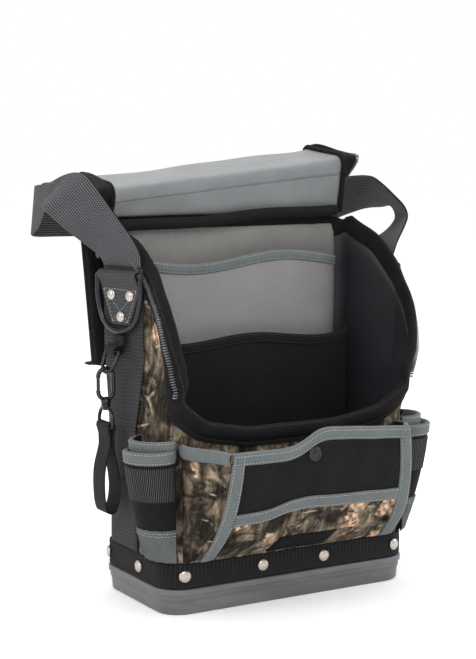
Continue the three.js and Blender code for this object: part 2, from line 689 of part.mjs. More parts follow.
function oblong(path, half, clockwise) {
  path.absarc(HOOK_X, upperArc, half, 0, Math.PI, clockwise);
  path.absarc(HOOK_X, lowerArc, half, Math.PI, 2 * Math.PI, clockwise);
  path.closePath();
  return path;
}
const hookShape = oblong(new THREE.Shape(), HOOK_HALF, false);
hookShape.holes.push(oblong(new THREE.Path(), hookInner, false));
const half = HOOK_THICKNESS / 2;
const up = new THREE.Vector3(0, 0, 1);
const SWIVEL_TOP = lowerArc - HOOK_HALF;
const pin = [[2.8, -7.6], [2.8, -5.8], [1.6, -5.8], [1.6, -2.2], [4, -2.2], [4, 2]];
const swivelAt = new THREE.Vector3(HOOK_X, STRAP_Y, SWIVEL_TOP);
const gateGap = box(GATE_X - 3, HOOK_X - hookInner + 1, STRAP_Y - 5, STRAP_Y + 5,
  GATE_PIVOT - 2.3, GATE_PIVOT + GATE_LENGTH + 0.4);
const hookBlank = join(alongY(hookShape, STRAP_Y + half, HOOK_THICKNESS), [turned(pin, 10, swivelAt, up)]);
add('hook_body', cut(hookBlank, [gateGap]), blackMetal);

function gateShape() {
  const shape = new THREE.Shape();
  shape.absarc(GATE_X, GATE_PIVOT, 1.6, Math.PI, 2 * Math.PI, false);
  shape.lineTo(GATE_X + 1.3, GATE_PIVOT + GATE_LENGTH);
  shape.lineTo(GATE_X - 1.3, GATE_PIVOT + GATE_LENGTH);
  shape.closePath();
  return shape;
}
add('hook_gate', alongY(gateShape(), STRAP_Y + half - 0.4, HOOK_THICKNESS - 0.8), blackMetal);

const EYE_TOP = SWIVEL_TOP - 4;
const EYE_DROP = 18;
const EYE_HALF = 13.5;
const EYE_BAR = EYE_TOP - EYE_DROP;
const eyePath = ringPath(EYE_HALF, EYE_DROP)
  .map((p) => new THREE.Vector3(HOOK_X, STRAP_Y + p.y, EYE_BAR - p.z));
const eyeCollar = turned([[4.2, -5.4], [4.2, -2.6]], 10, swivelAt, up);
const eyeBlank = join(wireLoop(eyePath, acrossX, SMALL_RING_WIRE, 8), [eyeCollar]);
add('hook_eye', cut(eyeBlank, [turned([[2.1, -9], [2.1, 0]], 10, swivelAt, up)]), blackMetal);

// A closed loop of webbing: round the eye's bar, pinched together below it, then hanging open.
const loopHalf = [[3, 0], [2.2, -3], [1.2, -7], [1.2, -16], [4, -28], [6.4, -44], [6.4, -62], [4.5, -72],
  [0, -77]];
const loopOutline = [...loopHalf, ...loopHalf.slice(0, -1).reverse().map(([x, z]) => [-x, z]), [0, 3]];
const loopStations = loopOutline.map(([x, z]) => ({
  at: new THREE.Vector3(HOOK_X + x, STRAP_Y, EYE_BAR + z),
  width: new THREE.Vector3(0, 11, 0),
}));
add('tape_strap', webbing(loopStations, 1.4, true), blackWebbing);

// ---- zipper sliders and their pulls ----

const PULL = 1.6; // thickness of a pull

for (const [word, side] of [['left', -1], ['right', 1]]) {
  const at = onBody(side * (ZIP_END + 5), edgeHeight(ZIP_END) + 12, 1.5);
  const face = side < 0 ? at.x - 3.5 : at.x + 3.5;
  const slider = box(at.x - 3.5, at.x + 3.5, at.y - 4.5, at.y + 4.5, at.z - 4, at.z + 4);
  add(`zip_slider_${word}`, slider, blackMetal);
  const tag = new THREE.Shape();
  tag.absarc(at.y, at.z + 1, 3.2, 0, Math.PI, false);
  tag.absarc(at.y, at.z - 22, 4, Math.PI, 2 * Math.PI, false);
  tag.closePath();
  const start = side < 0 ? face - GAP - PULL : face + GAP;
  add(`zip_pull_${word}`, alongX(tag, start, PULL), blackMetal);
}

// ---- lid ----

// A flat stretch of the lid between two places in Y and Z, held short of its hinges.
function lidPanel(from, to, halfSpan, startGap, endGap) {
  const length = Math.hypot(to[0] - from[0], to[1] - from[1]);
  const [dy, dz] = [(to[0] - from[0]) / length, (to[1] - from[1]) / length];
  const place = (along, over) => [from[0] + dy * along - dz * over, from[1] + dz * along + dy * over];
  const corners = [[startGap, -1], [length - endGap, -1], [length - endGap, 1], [startGap, 1]];
  const shape = new THREE.Shape(corners.map(([along, over]) =>
    new THREE.Vector2(...place(along, (over * LID_THICKNESS) / 2))));
  return alongX(shape, -halfSpan, 2 * halfSpan);
}
const tilted = (geometry) => geometry.applyMatrix4(
  new THREE.Matrix4().set(1, 0, 0, 0, 0, 1, 0, 0, LID_TILT, 0, 1, 0, 0, 0, 0, 1));
const risePanel = lidPanel(LID_ROOT, LID_FRONT_CORNER, LID_HALF_ROOT, 1, LID_HINGE_GAP);
const crownPanel = lidPanel(LID_FRONT_CORNER, LID_REAR_CORNER, LID_HALF, LID_HINGE_GAP, LID_HINGE_GAP);
const frontPanel = lidPanel(LID_REAR_CORNER, LID_TIP, LID_HALF, LID_HINGE_GAP, 0);
add('lid_rise_panel', tilted(risePanel), liningCloth);
add('lid_crown_panel', tilted(crownPanel), liningCloth);
add('lid_front_panel', tilted(frontPanel), liningCloth);

// The lid's side gussets: an ear at the roll, then a band folded in over the hanging stretch's lining.
const hangingStations = [[[108.5, 334], [18, 3, 0]], [[97, 270], [20, 1.5, 0]], [[87.4, 217], [19, 1.5, 0]]];
const leftStations = [[[51, 353], [-6, 2, 5]], [[41, 373], [-22, -3, 2]], [[54, 383], [-29, 2, -6]],
  [[96, 390], [-30, 8, -10]], [[115, 378], [-21, 17, -5]], ...hangingStations];
const rightStations = [[[51, 353], [-6, 2, 5]], [[41, 373], [-9, -4, 3]], [[54, 383], [-10, 2, -2]],
  [[96, 390], [-11, 8, -5]], [[115, 378], [-12, 17, -4]], ...hangingStations];
function gusset(side) {
  const stations = (side < 0 ? leftStations : rightStations).map(([[y, z], [out, back, rise]]) => {
    const root = new THREE.Vector3(side * (LID_HALF + 1.6), y, z);
    const width = new THREE.Vector3(-side * out, back, rise).multiplyScalar(0.5);
    return { at: root.add(width), width };
  });
  return tilted(webbing(finer(stations, 3), 1.8));
}
add('lid_gusset_left', gusset(-1), blackCloth);
add('lid_gusset_right', gusset(1), blackCloth);
const endGusset = box(-LID_HALF + 2, LID_HALF - 2, LID_TIP[0] + 7, LID_TIP[0] + GUSSET_DEPTH,
  LID_TIP[1] - 1, LID_TIP[1] + 1);
add('lid_gusset_end', tilted(endGusset), blackCloth);

// ---- carry strap ----

// The strap's upper and lower edges at each station, from its left root round behind the lid.
const strapEdges = [
  [[-120.8, -8.5, 297.4], [-132.7, 39, 297.4]],
  [[-121.5, -7, 309], [-138, 38.6, 306]],
  [[-127, 1, 325], [-150, 41, 316]],
  [[-139, 11.5, 346], [-167, 41.3, 328]],
  [[-150.5, 20, 366], [-181, 45, 341]],
  [[-157, 26, 376], [-187, 47, 347]],
  [[-161, 38, 378], [-182, 61, 351]],
  [[-163, 60, 375], [-170, 84, 346]],
  [[-162, 92, 368], [-164, 112, 328]],
  [[-157, 134, 364], [-157, 142, 318]],
  [[-122, 148, 363], [-122, 154, 316]],
  [[-60, 152, 362], [-60, 158, 315]],
  [[0, 153, 362], [0, 159, 315]],
  [[60, 152, 362], [60, 158, 315]],
  [[122, 148, 363], [122, 154, 316]],
  [[159, 134, 365], [159, 142, 319]],
  [[166, 94, 370], [172, 114, 330]],
  [[161, 54, 371], [178, 84, 338]],
  [[160, 34, 365], [186, 66, 340]],
  [[166, 20, 353], [190, 58, 341]],
  [[169.5, 9, 343.5], [191, 52, 333]],
  [[168, 1, 334.5], [186, 48, 326]],
  [[160, -5, 325], [170, 41.3, 317]],
  [[150, -8, 311], [145, 38.6, 306]],
  [[144.9, -8.5, 298.1], [133, 39, 298.1]],
];
const strapStations = strapEdges.map(([upper, lower]) => {
  const [a, b] = [new THREE.Vector3(...upper), new THREE.Vector3(...lower)];
  return { at: a.clone().add(b).multiplyScalar(0.5), width: a.sub(b).multiplyScalar(0.5) };
});
add('carry_strap', webbing(finer(strapStations, 3), WEBBING), greyWebbing);

export default pouch;
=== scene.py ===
"""Looks of the electrician's tool pouch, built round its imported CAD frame. Working units are mm."""
import math
import random

import bpy
from mathutils import Matrix, Vector


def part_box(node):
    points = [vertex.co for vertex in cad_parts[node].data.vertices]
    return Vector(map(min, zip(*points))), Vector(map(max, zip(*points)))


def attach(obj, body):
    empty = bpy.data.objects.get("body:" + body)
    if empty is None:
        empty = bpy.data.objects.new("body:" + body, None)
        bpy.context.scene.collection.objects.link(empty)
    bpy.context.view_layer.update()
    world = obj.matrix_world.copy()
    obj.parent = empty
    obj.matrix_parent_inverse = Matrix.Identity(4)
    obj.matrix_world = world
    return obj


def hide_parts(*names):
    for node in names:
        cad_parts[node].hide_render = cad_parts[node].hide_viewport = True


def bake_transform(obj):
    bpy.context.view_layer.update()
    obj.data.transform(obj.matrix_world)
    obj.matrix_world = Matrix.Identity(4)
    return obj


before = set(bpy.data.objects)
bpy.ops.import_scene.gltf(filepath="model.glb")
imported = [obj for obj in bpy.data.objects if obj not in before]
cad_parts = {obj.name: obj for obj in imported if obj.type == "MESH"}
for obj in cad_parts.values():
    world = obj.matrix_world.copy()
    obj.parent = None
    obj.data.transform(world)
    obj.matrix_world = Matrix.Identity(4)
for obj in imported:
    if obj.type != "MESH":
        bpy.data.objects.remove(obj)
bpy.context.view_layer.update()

MM = 0.001
PI = math.pi


# ---- camera, lights and floor ----

def stage_and_camera():
    camera_data = bpy.data.cameras.new("camera")
    camera_data.sensor_width = 36
    camera_data.lens = 88.3
    camera_data.clip_end = 400
    camera = bpy.data.objects.new("camera", camera_data)
    back = Vector((-0.504, -0.8555, 0.1193)).normalized()
    right = Vector((0, 0, 1)).cross(back).normalized()
    up = back.cross(right)
    turn = Matrix((right, up, back)).transposed().to_4x4()
    camera.matrix_world = Matrix.Translation(Vector((-756.6, -1250.9, 410.9)) * MM) @ turn
    bpy.context.scene.collection.objects.link(camera)
    bpy.context.scene.camera = camera

    world = bpy.data.worlds.new("studio")
    world.use_nodes = True
    sky = world.node_tree.nodes["Background"]
    sky.inputs[0].default_value = (1, 1, 1, 1)
    sky.inputs[1].default_value = 1.0
    bpy.context.scene.world = world
    bpy.context.scene.view_settings.view_transform = "Standard"

    lamps = [
        ("key", (-0.9, -1.5, 1.5), 0.9, 16),
        ("side", (1.6, -0.6, 0.9), 0.7, 9),
        ("top", (0.1, 0.5, 1.9), 1.0, 14),
        ("left", (-1.7, 0.2, 0.7), 0.6, 5),
    ]
    for name, at, size, power in lamps:
        data = bpy.data.lights.new(name, "AREA")
        data.size = size
        data.energy = power
        lamp = bpy.data.objects.new(name, data)
        lamp.location = at
        aim = Vector((0, 0, 0.2)) - lamp.location
        lamp.rotation_euler = aim.to_track_quat("-Z", "Y").to_euler()
        bpy.context.scene.collection.objects.link(lamp)

    side = 150
    mesh = bpy.data.meshes.new("floor")
    mesh.from_pydata([(-side, -side, 0), (side, -side, 0), (side, side, 0), (-side, side, 0)], [], [(0, 1, 2, 3)])
    floor = bpy.data.objects.new("floor", mesh)
    bpy.context.scene.collection.objects.link(floor)
    paint = bpy.data.materials.new("floor_paint")
    paint.use_nodes = True
    shader = paint.node_tree.nodes["Principled BSDF"]
    shader.inputs["Base Color"].default_value = (1, 1, 1, 1)
    shader.inputs["Roughness"].default_value = 1
    shader.inputs["Specular IOR Level"].default_value = 0
    mesh.materials.append(paint)


stage_and_camera()


# ---- materials ----

class Paint:
    """A node material whose patterns run in millimetres over each piece's own cloth map."""

    def __init__(self, name, roughness=0.8, metallic=0.0, sheen=0.0, gloss=0.5):
        self.material = bpy.data.materials.new(name)
        self.material.use_nodes = True
        self.tree = self.material.node_tree
        self.shader = self.tree.nodes["Principled BSDF"]
        self.shader.inputs["Roughness"].default_value = roughness
        self.shader.inputs["Metallic"].default_value = metallic
        self.shader.inputs["Sheen Weight"].default_value = sheen
        self.shader.inputs["Sheen Roughness"].default_value = 0.5
        self.shader.inputs["Specular IOR Level"].default_value = gloss
        cloth_map = self.tree.nodes.new("ShaderNodeUVMap")
        cloth_map.uv_map = "cloth"
        scaled = self.tree.nodes.new("ShaderNodeVectorMath")
        scaled.operation = "SCALE"
        scaled.inputs["Scale"].default_value = 1000
        self.link(cloth_map.outputs[0], scaled.inputs[0])
        self.place = scaled.outputs[0]
        parts = self.tree.nodes.new("ShaderNodeSeparateXYZ")
        self.link(self.place, parts.inputs[0])
        self.u, self.v = parts.outputs[0], parts.outputs[1]

    def link(self, source, target):
        self.tree.links.new(source, target)

    def feed(self, socket, value):
        if isinstance(value, bpy.types.NodeSocket):
            self.link(value, socket)
        elif isinstance(value, (tuple, list)) and len(socket.default_value) == 4:
            socket.default_value = (*value[:3], 1)
        else:
            socket.default_value = value

    def math(self, operation, a, b=0.0, clamp=False):
        node = self.tree.nodes.new("ShaderNodeMath")
        node.operation = operation
        node.use_clamp = clamp
        self.feed(node.inputs[0], a)
        self.feed(node.inputs[1], b)
        return node.outputs[0]

    def wave(self, along, length, phase=0.0):
        """A sine of 0 to 1 with that wavelength in mm."""
        angle = self.math("ADD", self.math("MULTIPLY", along, 2 * PI / length), phase)
        return self.math("ADD", self.math("MULTIPLY", self.math("SINE", angle), 0.5), 0.5)

    def stretched(self, factors, turn=0.0):
        node = self.tree.nodes.new("ShaderNodeMapping")
        self.link(self.place, node.inputs[0])
        node.inputs["Rotation"].default_value = (0, 0, turn)
        node.inputs["Scale"].default_value = factors
        return node.outputs[0]

    def noise(self, size, detail=3.0, rough=0.55, factors=(1, 1, 1), turn=0.0, warp=0.0):
        """Cloudy noise of 0 to 1 whose lumps are about size mm across."""
        node = self.tree.nodes.new("ShaderNodeTexNoise")
        node.inputs["Scale"].default_value = 1 / size
        node.inputs["Detail"].default_value = detail
        node.inputs["Roughness"].default_value = rough
        node.inputs["Distortion"].default_value = warp
        self.link(self.stretched(factors, turn), node.inputs["Vector"])
        return node.outputs["Fac"]

    def cells(self, size, factors=(1, 1, 1), turn=0.0, feature="F1", output="Distance"):
        node = self.tree.nodes.new("ShaderNodeTexVoronoi")
        node.feature = feature
        node.inputs["Scale"].default_value = 1 / size
        self.link(self.stretched(factors, turn), node.inputs["Vector"])
        return node.outputs[output]

    def ramp(self, value, stops):
        node = self.tree.nodes.new("ShaderNodeValToRGB")
        self.feed(node.inputs[0], value)
        bar = node.color_ramp.elements
        while len(bar) < len(stops):
            bar.new(0.5)
        for element, (place, colour) in zip(bar, stops):
            element.position = place
            tone = colour if isinstance(colour, (tuple, list)) else (colour,) * 3
            element.color = (*tone, 1)
        return node.outputs[0]

    def mix(self, amount, a, b, kind="MIX"):
        node = self.tree.nodes.new("ShaderNodeMix")
        node.data_type = "RGBA"
        node.blend_type = kind
        self.feed(node.inputs[0], amount)
        self.feed(node.inputs[6], a)
        self.feed(node.inputs[7], b)
        return node.outputs[2]

    def shade(self, colour, amount):
        """Colour times amount, a value near 1."""
        tone = self.tree.nodes.new("ShaderNodeCombineColor")
        for socket in tone.inputs:
            self.feed(socket, amount)
        return self.mix(1.0, colour, tone.outputs[0], "MULTIPLY")

    def span(self, value, low, high):
        """A value of 0 to 1 turned into one of low to high."""
        return self.math("ADD", self.math("MULTIPLY", value, high - low), low)

    def finish(self, colour, height=None, depth=0.1, roughness=None):
        self.feed(self.shader.inputs["Base Color"], colour)
        if roughness is not None:
            self.feed(self.shader.inputs["Roughness"], roughness)
        if height is not None:
            bump = self.tree.nodes.new("ShaderNodeBump")
            bump.inputs["Distance"].default_value = depth * MM
            bump.inputs["Strength"].default_value = 1.0
            self.link(height, bump.inputs["Height"])
            self.link(bump.outputs[0], self.shader.inputs["Normal"])
        return self.material


def plain_weave(paint, yarn):
    """Height of a plain weave of that yarn width in mm."""
    over = paint.math("MULTIPLY", paint.math("SINE", paint.math("MULTIPLY", paint.u, PI / yarn)),
                      paint.math("SINE", paint.math("MULTIPLY", paint.v, PI / yarn)))
    slub = paint.noise(yarn * 2, 2, factors=(1, 0.25, 1))
    return paint.math("ADD", paint.math("MULTIPLY", over, 0.5), slub)


def cloth_paint(name, colour, yarn=0.9, depth=0.12, contrast=0.35, sheen=0.02, roughness=0.85, mottle=0.25,
                gloss=0.12):
    paint = Paint(name, roughness, sheen=sheen, gloss=gloss)
    weave = plain_weave(paint, yarn)
    tone = paint.span(weave, 1 - contrast / 2, 1 + contrast / 2)
    clouds = paint.span(paint.noise(38, 4), 1 - mottle, 1 + mottle)
    body = paint.shade(paint.shade(colour, tone), clouds)
    return paint.finish(body, weave, depth, paint.span(paint.noise(22, 3), roughness - 0.08, roughness + 0.08))


def webbing_paint(name, colour, rib=2.2, dash=1.7, depth=0.35, contrast=0.6, roughness=0.75, across=False):
    """Woven webbing: rows of short floats across its length. across turns the rows along the length."""
    paint = Paint(name, roughness, sheen=0.01, gloss=0.15)
    along, over = (paint.v, paint.u) if across else (paint.u, paint.v)
    row = paint.math("DIVIDE", along, rib)
    parity = paint.math("MULTIPLY", paint.math("MODULO", paint.math("FLOOR", row), 2), PI)
    crest = paint.math("ABSOLUTE", paint.math("SINE", paint.math("MULTIPLY", row, PI)))
    floats = paint.wave(over, dash, parity)
    height = paint.math("MULTIPLY", crest, paint.span(floats, 0.35, 1.0))
    tone = paint.span(height, 1 - contrast, 1 + contrast * 0.5)
    dust = paint.span(paint.noise(30, 4), 0.8, 1.2)
    return paint.finish(paint.shade(paint.shade(colour, tone), dust), height, depth)


def woodland_paint():
    """Bark, twigs and dry leaves printed on a plain weave."""
    paint = Paint("woodland_print", 0.8, gloss=0.15)
    bark = paint.noise(11, 7, 0.68, factors=(1, 0.25, 1), turn=0.3, warp=1.4)
    ground = paint.ramp(bark, [(0.3, (0.012, 0.01, 0.008)), (0.45, (0.07, 0.052, 0.036)),
                               (0.58, (0.2, 0.16, 0.11)), (0.72, (0.42, 0.36, 0.27))])
    hollow = paint.ramp(paint.noise(34, 3, 0.5, warp=0.8), [(0.42, 0.13), (0.56, 1.0)])
    ground = paint.mix(1.0, ground, hollow, "MULTIPLY")
    leaf_shape = paint.cells(34, factors=(1, 0.62, 1), turn=-0.7)
    leaf_edge = paint.math("ADD", leaf_shape, paint.math("MULTIPLY", paint.noise(8, 4), 0.45))
    leaf = paint.ramp(leaf_edge, [(0.5, 1.0), (0.58, 0.0)])
    pick = paint.ramp(paint.noise(60, 2, warp=0.5), [(0.46, 0.0), (0.5, 1.0)])
    veins = paint.wave(paint.math("ADD", paint.u, paint.math("MULTIPLY", paint.v, 0.6)), 9,
                       paint.math("MULTIPLY", paint.noise(14, 4), 7))
    leaf_tone = paint.ramp(paint.math("ADD", paint.math("MULTIPLY", paint.noise(7, 6, 0.7, warp=1.0), 0.85),
                                      paint.math("MULTIPLY", veins, 0.15)),
                           [(0.25, (0.06, 0.03, 0.018)), (0.42, (0.3, 0.17, 0.1)),
                            (0.56, (0.62, 0.43, 0.3)), (0.72, (0.8, 0.67, 0.53))])
    colour = paint.mix(paint.math("MULTIPLY", leaf, pick), ground, leaf_tone)
    twig = paint.cells(26, factors=(0.35, 1, 1), turn=0.9, feature="DISTANCE_TO_EDGE")
    twig_line = paint.ramp(twig, [(0.012, 1.0), (0.04, 0.0)])
    twig_pick = paint.ramp(paint.noise(24, 2), [(0.54, 0.0), (0.62, 0.6)])
    colour = paint.mix(paint.math("MULTIPLY", twig_line, twig_pick), colour, (0.5, 0.42, 0.31))
    shadow = paint.ramp(paint.noise(12, 4, warp=1.5), [(0.36, 0.1), (0.46, 1.0)])
    colour = paint.mix(0.8, colour, shadow, "MULTIPLY")
    weave = plain_weave(paint, 0.8)
    return paint.finish(paint.shade(colour, paint.span(weave, 0.82, 1.18)), weave, 0.1)


def moulded_paint(name, colour, roughness=0.5, grain=0.9, depth=0.03, scuff=0.16, gloss=0.5):
    paint = Paint(name, roughness, gloss=gloss)
    skin = paint.noise(grain, 3)
    scuffs = paint.ramp(paint.noise(26, 6, 0.7, factors=(0.3, 1, 1)), [(0.45, 0.0), (0.75, 1.0)])
    body = paint.mix(paint.math("MULTIPLY", scuffs, scuff), colour, (0.5, 0.5, 0.5))
    return paint.finish(body, skin, depth, paint.span(scuffs, roughness - 0.05, roughness + 0.18))


def metal_paint(name, colour, roughness=0.25, metallic=1.0):
    paint = Paint(name, roughness, metallic)
    wear = paint.noise(4, 5, 0.7)
    body = paint.shade(colour, paint.span(wear, 0.8, 1.2))
    return paint.finish(body, paint.noise(1.2, 2), 0.008, paint.span(wear, roughness - 0.08, roughness + 0.15))


def mesh_paint():
    """Grey spacer mesh: rows of small dark holes."""
    paint = Paint("mesh", 0.9, gloss=0.15)
    holes = paint.math("MULTIPLY", paint.wave(paint.u, 1.9), paint.wave(paint.v, 1.9))
    shift = paint.math("MULTIPLY", paint.wave(paint.u, 1.9, PI), paint.wave(paint.v, 1.9, PI))
    knit = paint.math("ADD", holes, shift)
    tone = paint.ramp(knit, [(0.2, (0.035, 0.035, 0.035)), (0.55, (0.27, 0.265, 0.25))])
    return paint.finish(paint.shade(tone, paint.span(paint.noise(25, 3), 0.8, 1.15)), knit, 0.3)


def elastic_paint():
    """Black elastic with fine raised lines along its height."""
    paint = Paint("elastic", 0.8, gloss=0.15)
    lines = paint.wave(paint.u, 1.7)
    tone = paint.ramp(lines, [(0.3, 0.006), (0.8, 0.035), (1.0, 0.09)])
    return paint.finish(tone, lines, 0.4)


def thread_paint(name, colour):
    paint = Paint(name, 0.6)
    twist = paint.wave(paint.math("ADD", paint.u, paint.v), 0.6)
    return paint.finish(paint.shade(colour, paint.span(twist, 0.7, 1.15)), twist, 0.05)


WOODLAND = woodland_paint()
BLACK_CLOTH = cloth_paint("black_cloth_weave", (0.0085, 0.0078, 0.0083), contrast=0.9, depth=0.25, mottle=0.3, gloss=0.1)
BLACK_SATIN = cloth_paint("black_satin", (0.012, 0.013, 0.016), yarn=0.5, contrast=0.3, roughness=0.42, gloss=0.45)
LINING = cloth_paint("lining_weave", (0.145, 0.153, 0.158), yarn=0.8, contrast=0.25, mottle=0.3, sheen=0.1,
                     roughness=0.45, gloss=0.5)
TIER_CLOTH = cloth_paint("tier_weave", (0.2, 0.195, 0.19), yarn=0.8, contrast=0.2, mottle=0.1)
BINDING = cloth_paint("binding_weave", (0.105, 0.116, 0.117), yarn=0.8, contrast=0.5, mottle=0.25, sheen=0.12)
SEAT_CLOTH = cloth_paint("grey_pack_cloth", (0.085, 0.09, 0.092), yarn=0.9, contrast=0.5, mottle=0.3)
STRAP = webbing_paint("strap_weave", (0.105, 0.105, 0.113), rib=2.3, dash=2.0, depth=0.6, contrast=0.97)
SIDE_STRIP = webbing_paint("side_strip_weave", (0.04, 0.039, 0.04), rib=1.7, dash=40, depth=0.4, contrast=0.5, across=True)
TAB_STRIP = webbing_paint("tab_weave", (0.056, 0.055, 0.059), rib=1.7, dash=40, depth=0.4, contrast=0.5, across=True)
BAND = webbing_paint("band_weave", (0.012, 0.012, 0.0125), rib=1.9, dash=60, depth=0.5, contrast=0.9)
TAPE_STRAP = webbing_paint("tape_strap_weave", (0.013, 0.013, 0.014), rib=2.1, dash=50, depth=0.5, contrast=0.9)
MESH = mesh_paint()
ELASTIC = elastic_paint()
TRAY = moulded_paint("tray_plastic_grain", (0.088, 0.086, 0.086), 0.48)
BOARD = moulded_paint("board_grain", (0.03, 0.032, 0.034), 0.6)
LABEL = moulded_paint("label_rubber_grain", (0.004, 0.0038, 0.004), 0.7, scuff=0.004, gloss=0.1)
# Painted highlight: the teeth's colour is set lighter than their dark plastic to stand in for the glints on them, so it
# is partly their own colour and partly painted glint.
TEETH = moulded_paint("teeth_plastic_and_painted_glint", (0.075, 0.077, 0.08), 0.2)
NICKEL = metal_paint("nickel", (0.46, 0.41, 0.37), 0.3)
BLACK_METAL = metal_paint("black_plating", (0.022, 0.022, 0.024), 0.16, 0.6)
GREY_THREAD = thread_paint("grey_thread", (0.42, 0.44, 0.44))
DARK_THREAD = thread_paint("dark_thread", (0.03, 0.03, 0.032))


# ---- meshes ----

def build(name, points, faces, uvs, paints, body, marks=None, smooth=True, nodes=(), blend=None, crisp=False):
    """One piece. points and uvs are in mm, one uv per point; marks gives each face's paint."""
    mesh = bpy.data.meshes.new(name)
    mesh.from_pydata([tuple(p * MM) for p in points], [], faces)
    layer = mesh.uv_layers.new(name="cloth")
    for loop in mesh.loops:
        u, v = uvs[loop.vertex_index]
        layer.data[loop.index].uv = (u * MM, v * MM)
    for paint in paints:
        mesh.materials.append(paint)
    for i, polygon in enumerate(mesh.polygons):
        polygon.use_smooth = smooth and not (crisp and marks[i] == 2)
        if marks:
            polygon.material_index = marks[i]
    mesh.validate()
    mesh.update()
    piece = bpy.data.objects.new(name, mesh)
    bpy.context.scene.collection.objects.link(piece)
    if blend:
        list(blend[0])
        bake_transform(piece)
    else:
        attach(piece, body)
    if nodes:
        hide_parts(*nodes)
    return piece


def grid_normals(grid, wrap):
    columns, rows = len(grid), len(grid[0])
    normals = []
    for i in range(columns):
        line = []
        before = grid[(i - 1) % columns] if wrap else grid[max(i - 1, 0)]
        after = grid[(i + 1) % columns] if wrap else grid[min(i + 1, columns - 1)]
        for j in range(rows):
            across = after[j] - before[j]
            along = grid[i][min(j + 1, rows - 1)] - grid[i][max(j - 1, 0)]
            line.append(across.cross(along).normalized())
        normals.append(line)
    return normals


def sheet(name, grid, thickness, paint, body, wrap=False, inner=None, rim=None, uv=None, nodes=(),
          blend=None, turn=False, crisp=False):
    """Cloth of real thickness with rounded edges, from the grid [column][row] of its outer face.
    It thickens away from the face that the grid's columns cross rows point to; turn swaps that side."""
    columns, rows = len(grid), len(grid[0])
    normals = grid_normals(grid, wrap)
    sign = -1 if turn else 1
    if uv is None:
        us, vs = [0.0], [0.0]
        for i in range(1, columns):
            us.append(us[-1] + (grid[i][rows // 2] - grid[i - 1][rows // 2]).length)
        for j in range(1, rows):
            vs.append(vs[-1] + (grid[columns // 2][j] - grid[columns // 2][j - 1]).length)
        uv = [[(u, v) for v in vs] for u in us]
    points, uvs = [], []
    for depth in (0.0, thickness):
        for i in range(columns):
            for j in range(rows):
                points.append(grid[i][j] - normals[i][j] * depth * sign)
                uvs.append(uv[i][j])
    faces, marks = [], []

    def f(i, j):
        return (i % columns) * rows + j

    def k(i, j):
        return columns * rows + f(i, j)

    def face(a, b, c, d, mark):
        faces.append((a, d, c, b) if turn else (a, b, c, d))
        marks.append(mark)

    for i in range(columns if wrap else columns - 1):
        for j in range(rows - 1):
            face(f(i, j), f(i + 1, j), f(i + 1, j + 1), f(i, j + 1), 0)
            face(k(i, j), k(i, j + 1), k(i + 1, j + 1), k(i + 1, j), 1)

    def edge(ring, closed):
        """Rounds the edge that runs through ring, a list of (i, j) places, with a bulging middle line."""
        middle = []
        for i, j in ring:
            ni = min(max(i, 1), columns - 2) if not wrap and columns > 2 else i
            nj = min(max(j, 1), rows - 2) if rows > 2 else j
            out = (grid[i][j] - grid[ni][nj])
            out = out.normalized() if out.length > 1e-6 else Vector((0, 0, 0))
            middle.append(len(points))
            points.append((points[f(i, j)] + points[k(i, j)]) / 2 + out * thickness * 0.35)
            uvs.append(uv[i][j])
        count = len(ring) if closed else len(ring) - 1
        for n in range(count):
            (i0, j0), (i1, j1) = ring[n], ring[(n + 1) % len(ring)]
            m0, m1 = middle[n], middle[(n + 1) % len(ring)]
            face(f(i1, j1), f(i0, j0), m0, m1, 2)
            face(m1, m0, k(i0, j0), k(i1, j1), 2)

    if wrap:
        edge([(i, 0) for i in range(columns)], True)
        edge([(i, rows - 1) for i in reversed(range(columns))], True)
    else:
        loop = [(i, 0) for i in range(columns)]
        loop += [(columns - 1, j) for j in range(1, rows)]
        loop += [(i, rows - 1) for i in reversed(range(columns - 1))]
        loop += [(0, j) for j in reversed(range(1, rows - 1))]
        edge(loop, True)
    paints = [paint, inner or paint, rim or paint]
    return build(name, points, faces, uvs, paints, body, marks, nodes=nodes, blend=blend, crisp=crisp)


def tube(name, path, radius, paint, body, sides=12, closed=False, flat=None, nodes=(), blend=None,
         squeeze=1.0):
    """Round wire or piping along a path; squeeze flattens it across the flat direction."""
    count = len(path)
    points, uvs, faces = [], [], []
    run = 0.0
    side = flat
    for i, p in enumerate(path):
        before = path[(i - 1) % count] if closed else path[max(i - 1, 0)]
        after = path[(i + 1) % count] if closed else path[min(i + 1, count - 1)]
        ahead = (after - before).normalized()
        if flat is None:
            guess = side or (Vector((0, 0, 1)) if abs(ahead.z) < 0.9 else Vector((1, 0, 0)))
            side = (guess - ahead * guess.dot(ahead)).normalized()
        across = ahead.cross(side).normalized()
        run += (p - path[i - 1]).length if i else 0
        for j in range(sides):
            angle = 2 * PI * j / sides
            points.append(p + across * radius * math.cos(angle) + side * radius * squeeze * math.sin(angle))
            uvs.append((run, radius * angle))
    for i in range(count if closed else count - 1):
        for j in range(sides):
            a, b = i * sides + j, i * sides + (j + 1) % sides
            c, d = ((i + 1) % count) * sides + (j + 1) % sides, ((i + 1) % count) * sides + j
            faces.append((a, b, c, d))
    if not closed:
        faces.append(tuple(reversed(range(sides))))
        faces.append(tuple((count - 1) * sides + j for j in range(sides)))
    return build(name, points, faces, uvs, [paint], body, nodes=nodes, blend=blend)


def gathered(name, chunks, paint, body, smooth=False, nodes=(), blend=None):
    """Many small solids as one piece; each chunk is (points, faces)."""
    points, faces, uvs = [], [], []
    for chunk_points, chunk_faces in chunks:
        base = len(points)
        points += chunk_points
        uvs += [(p.x + p.y, p.z) for p in chunk_points]
        faces += [tuple(base + i for i in face) for face in chunk_faces]
    return build(name, points, faces, uvs, [paint], body, smooth=smooth, nodes=nodes, blend=blend)


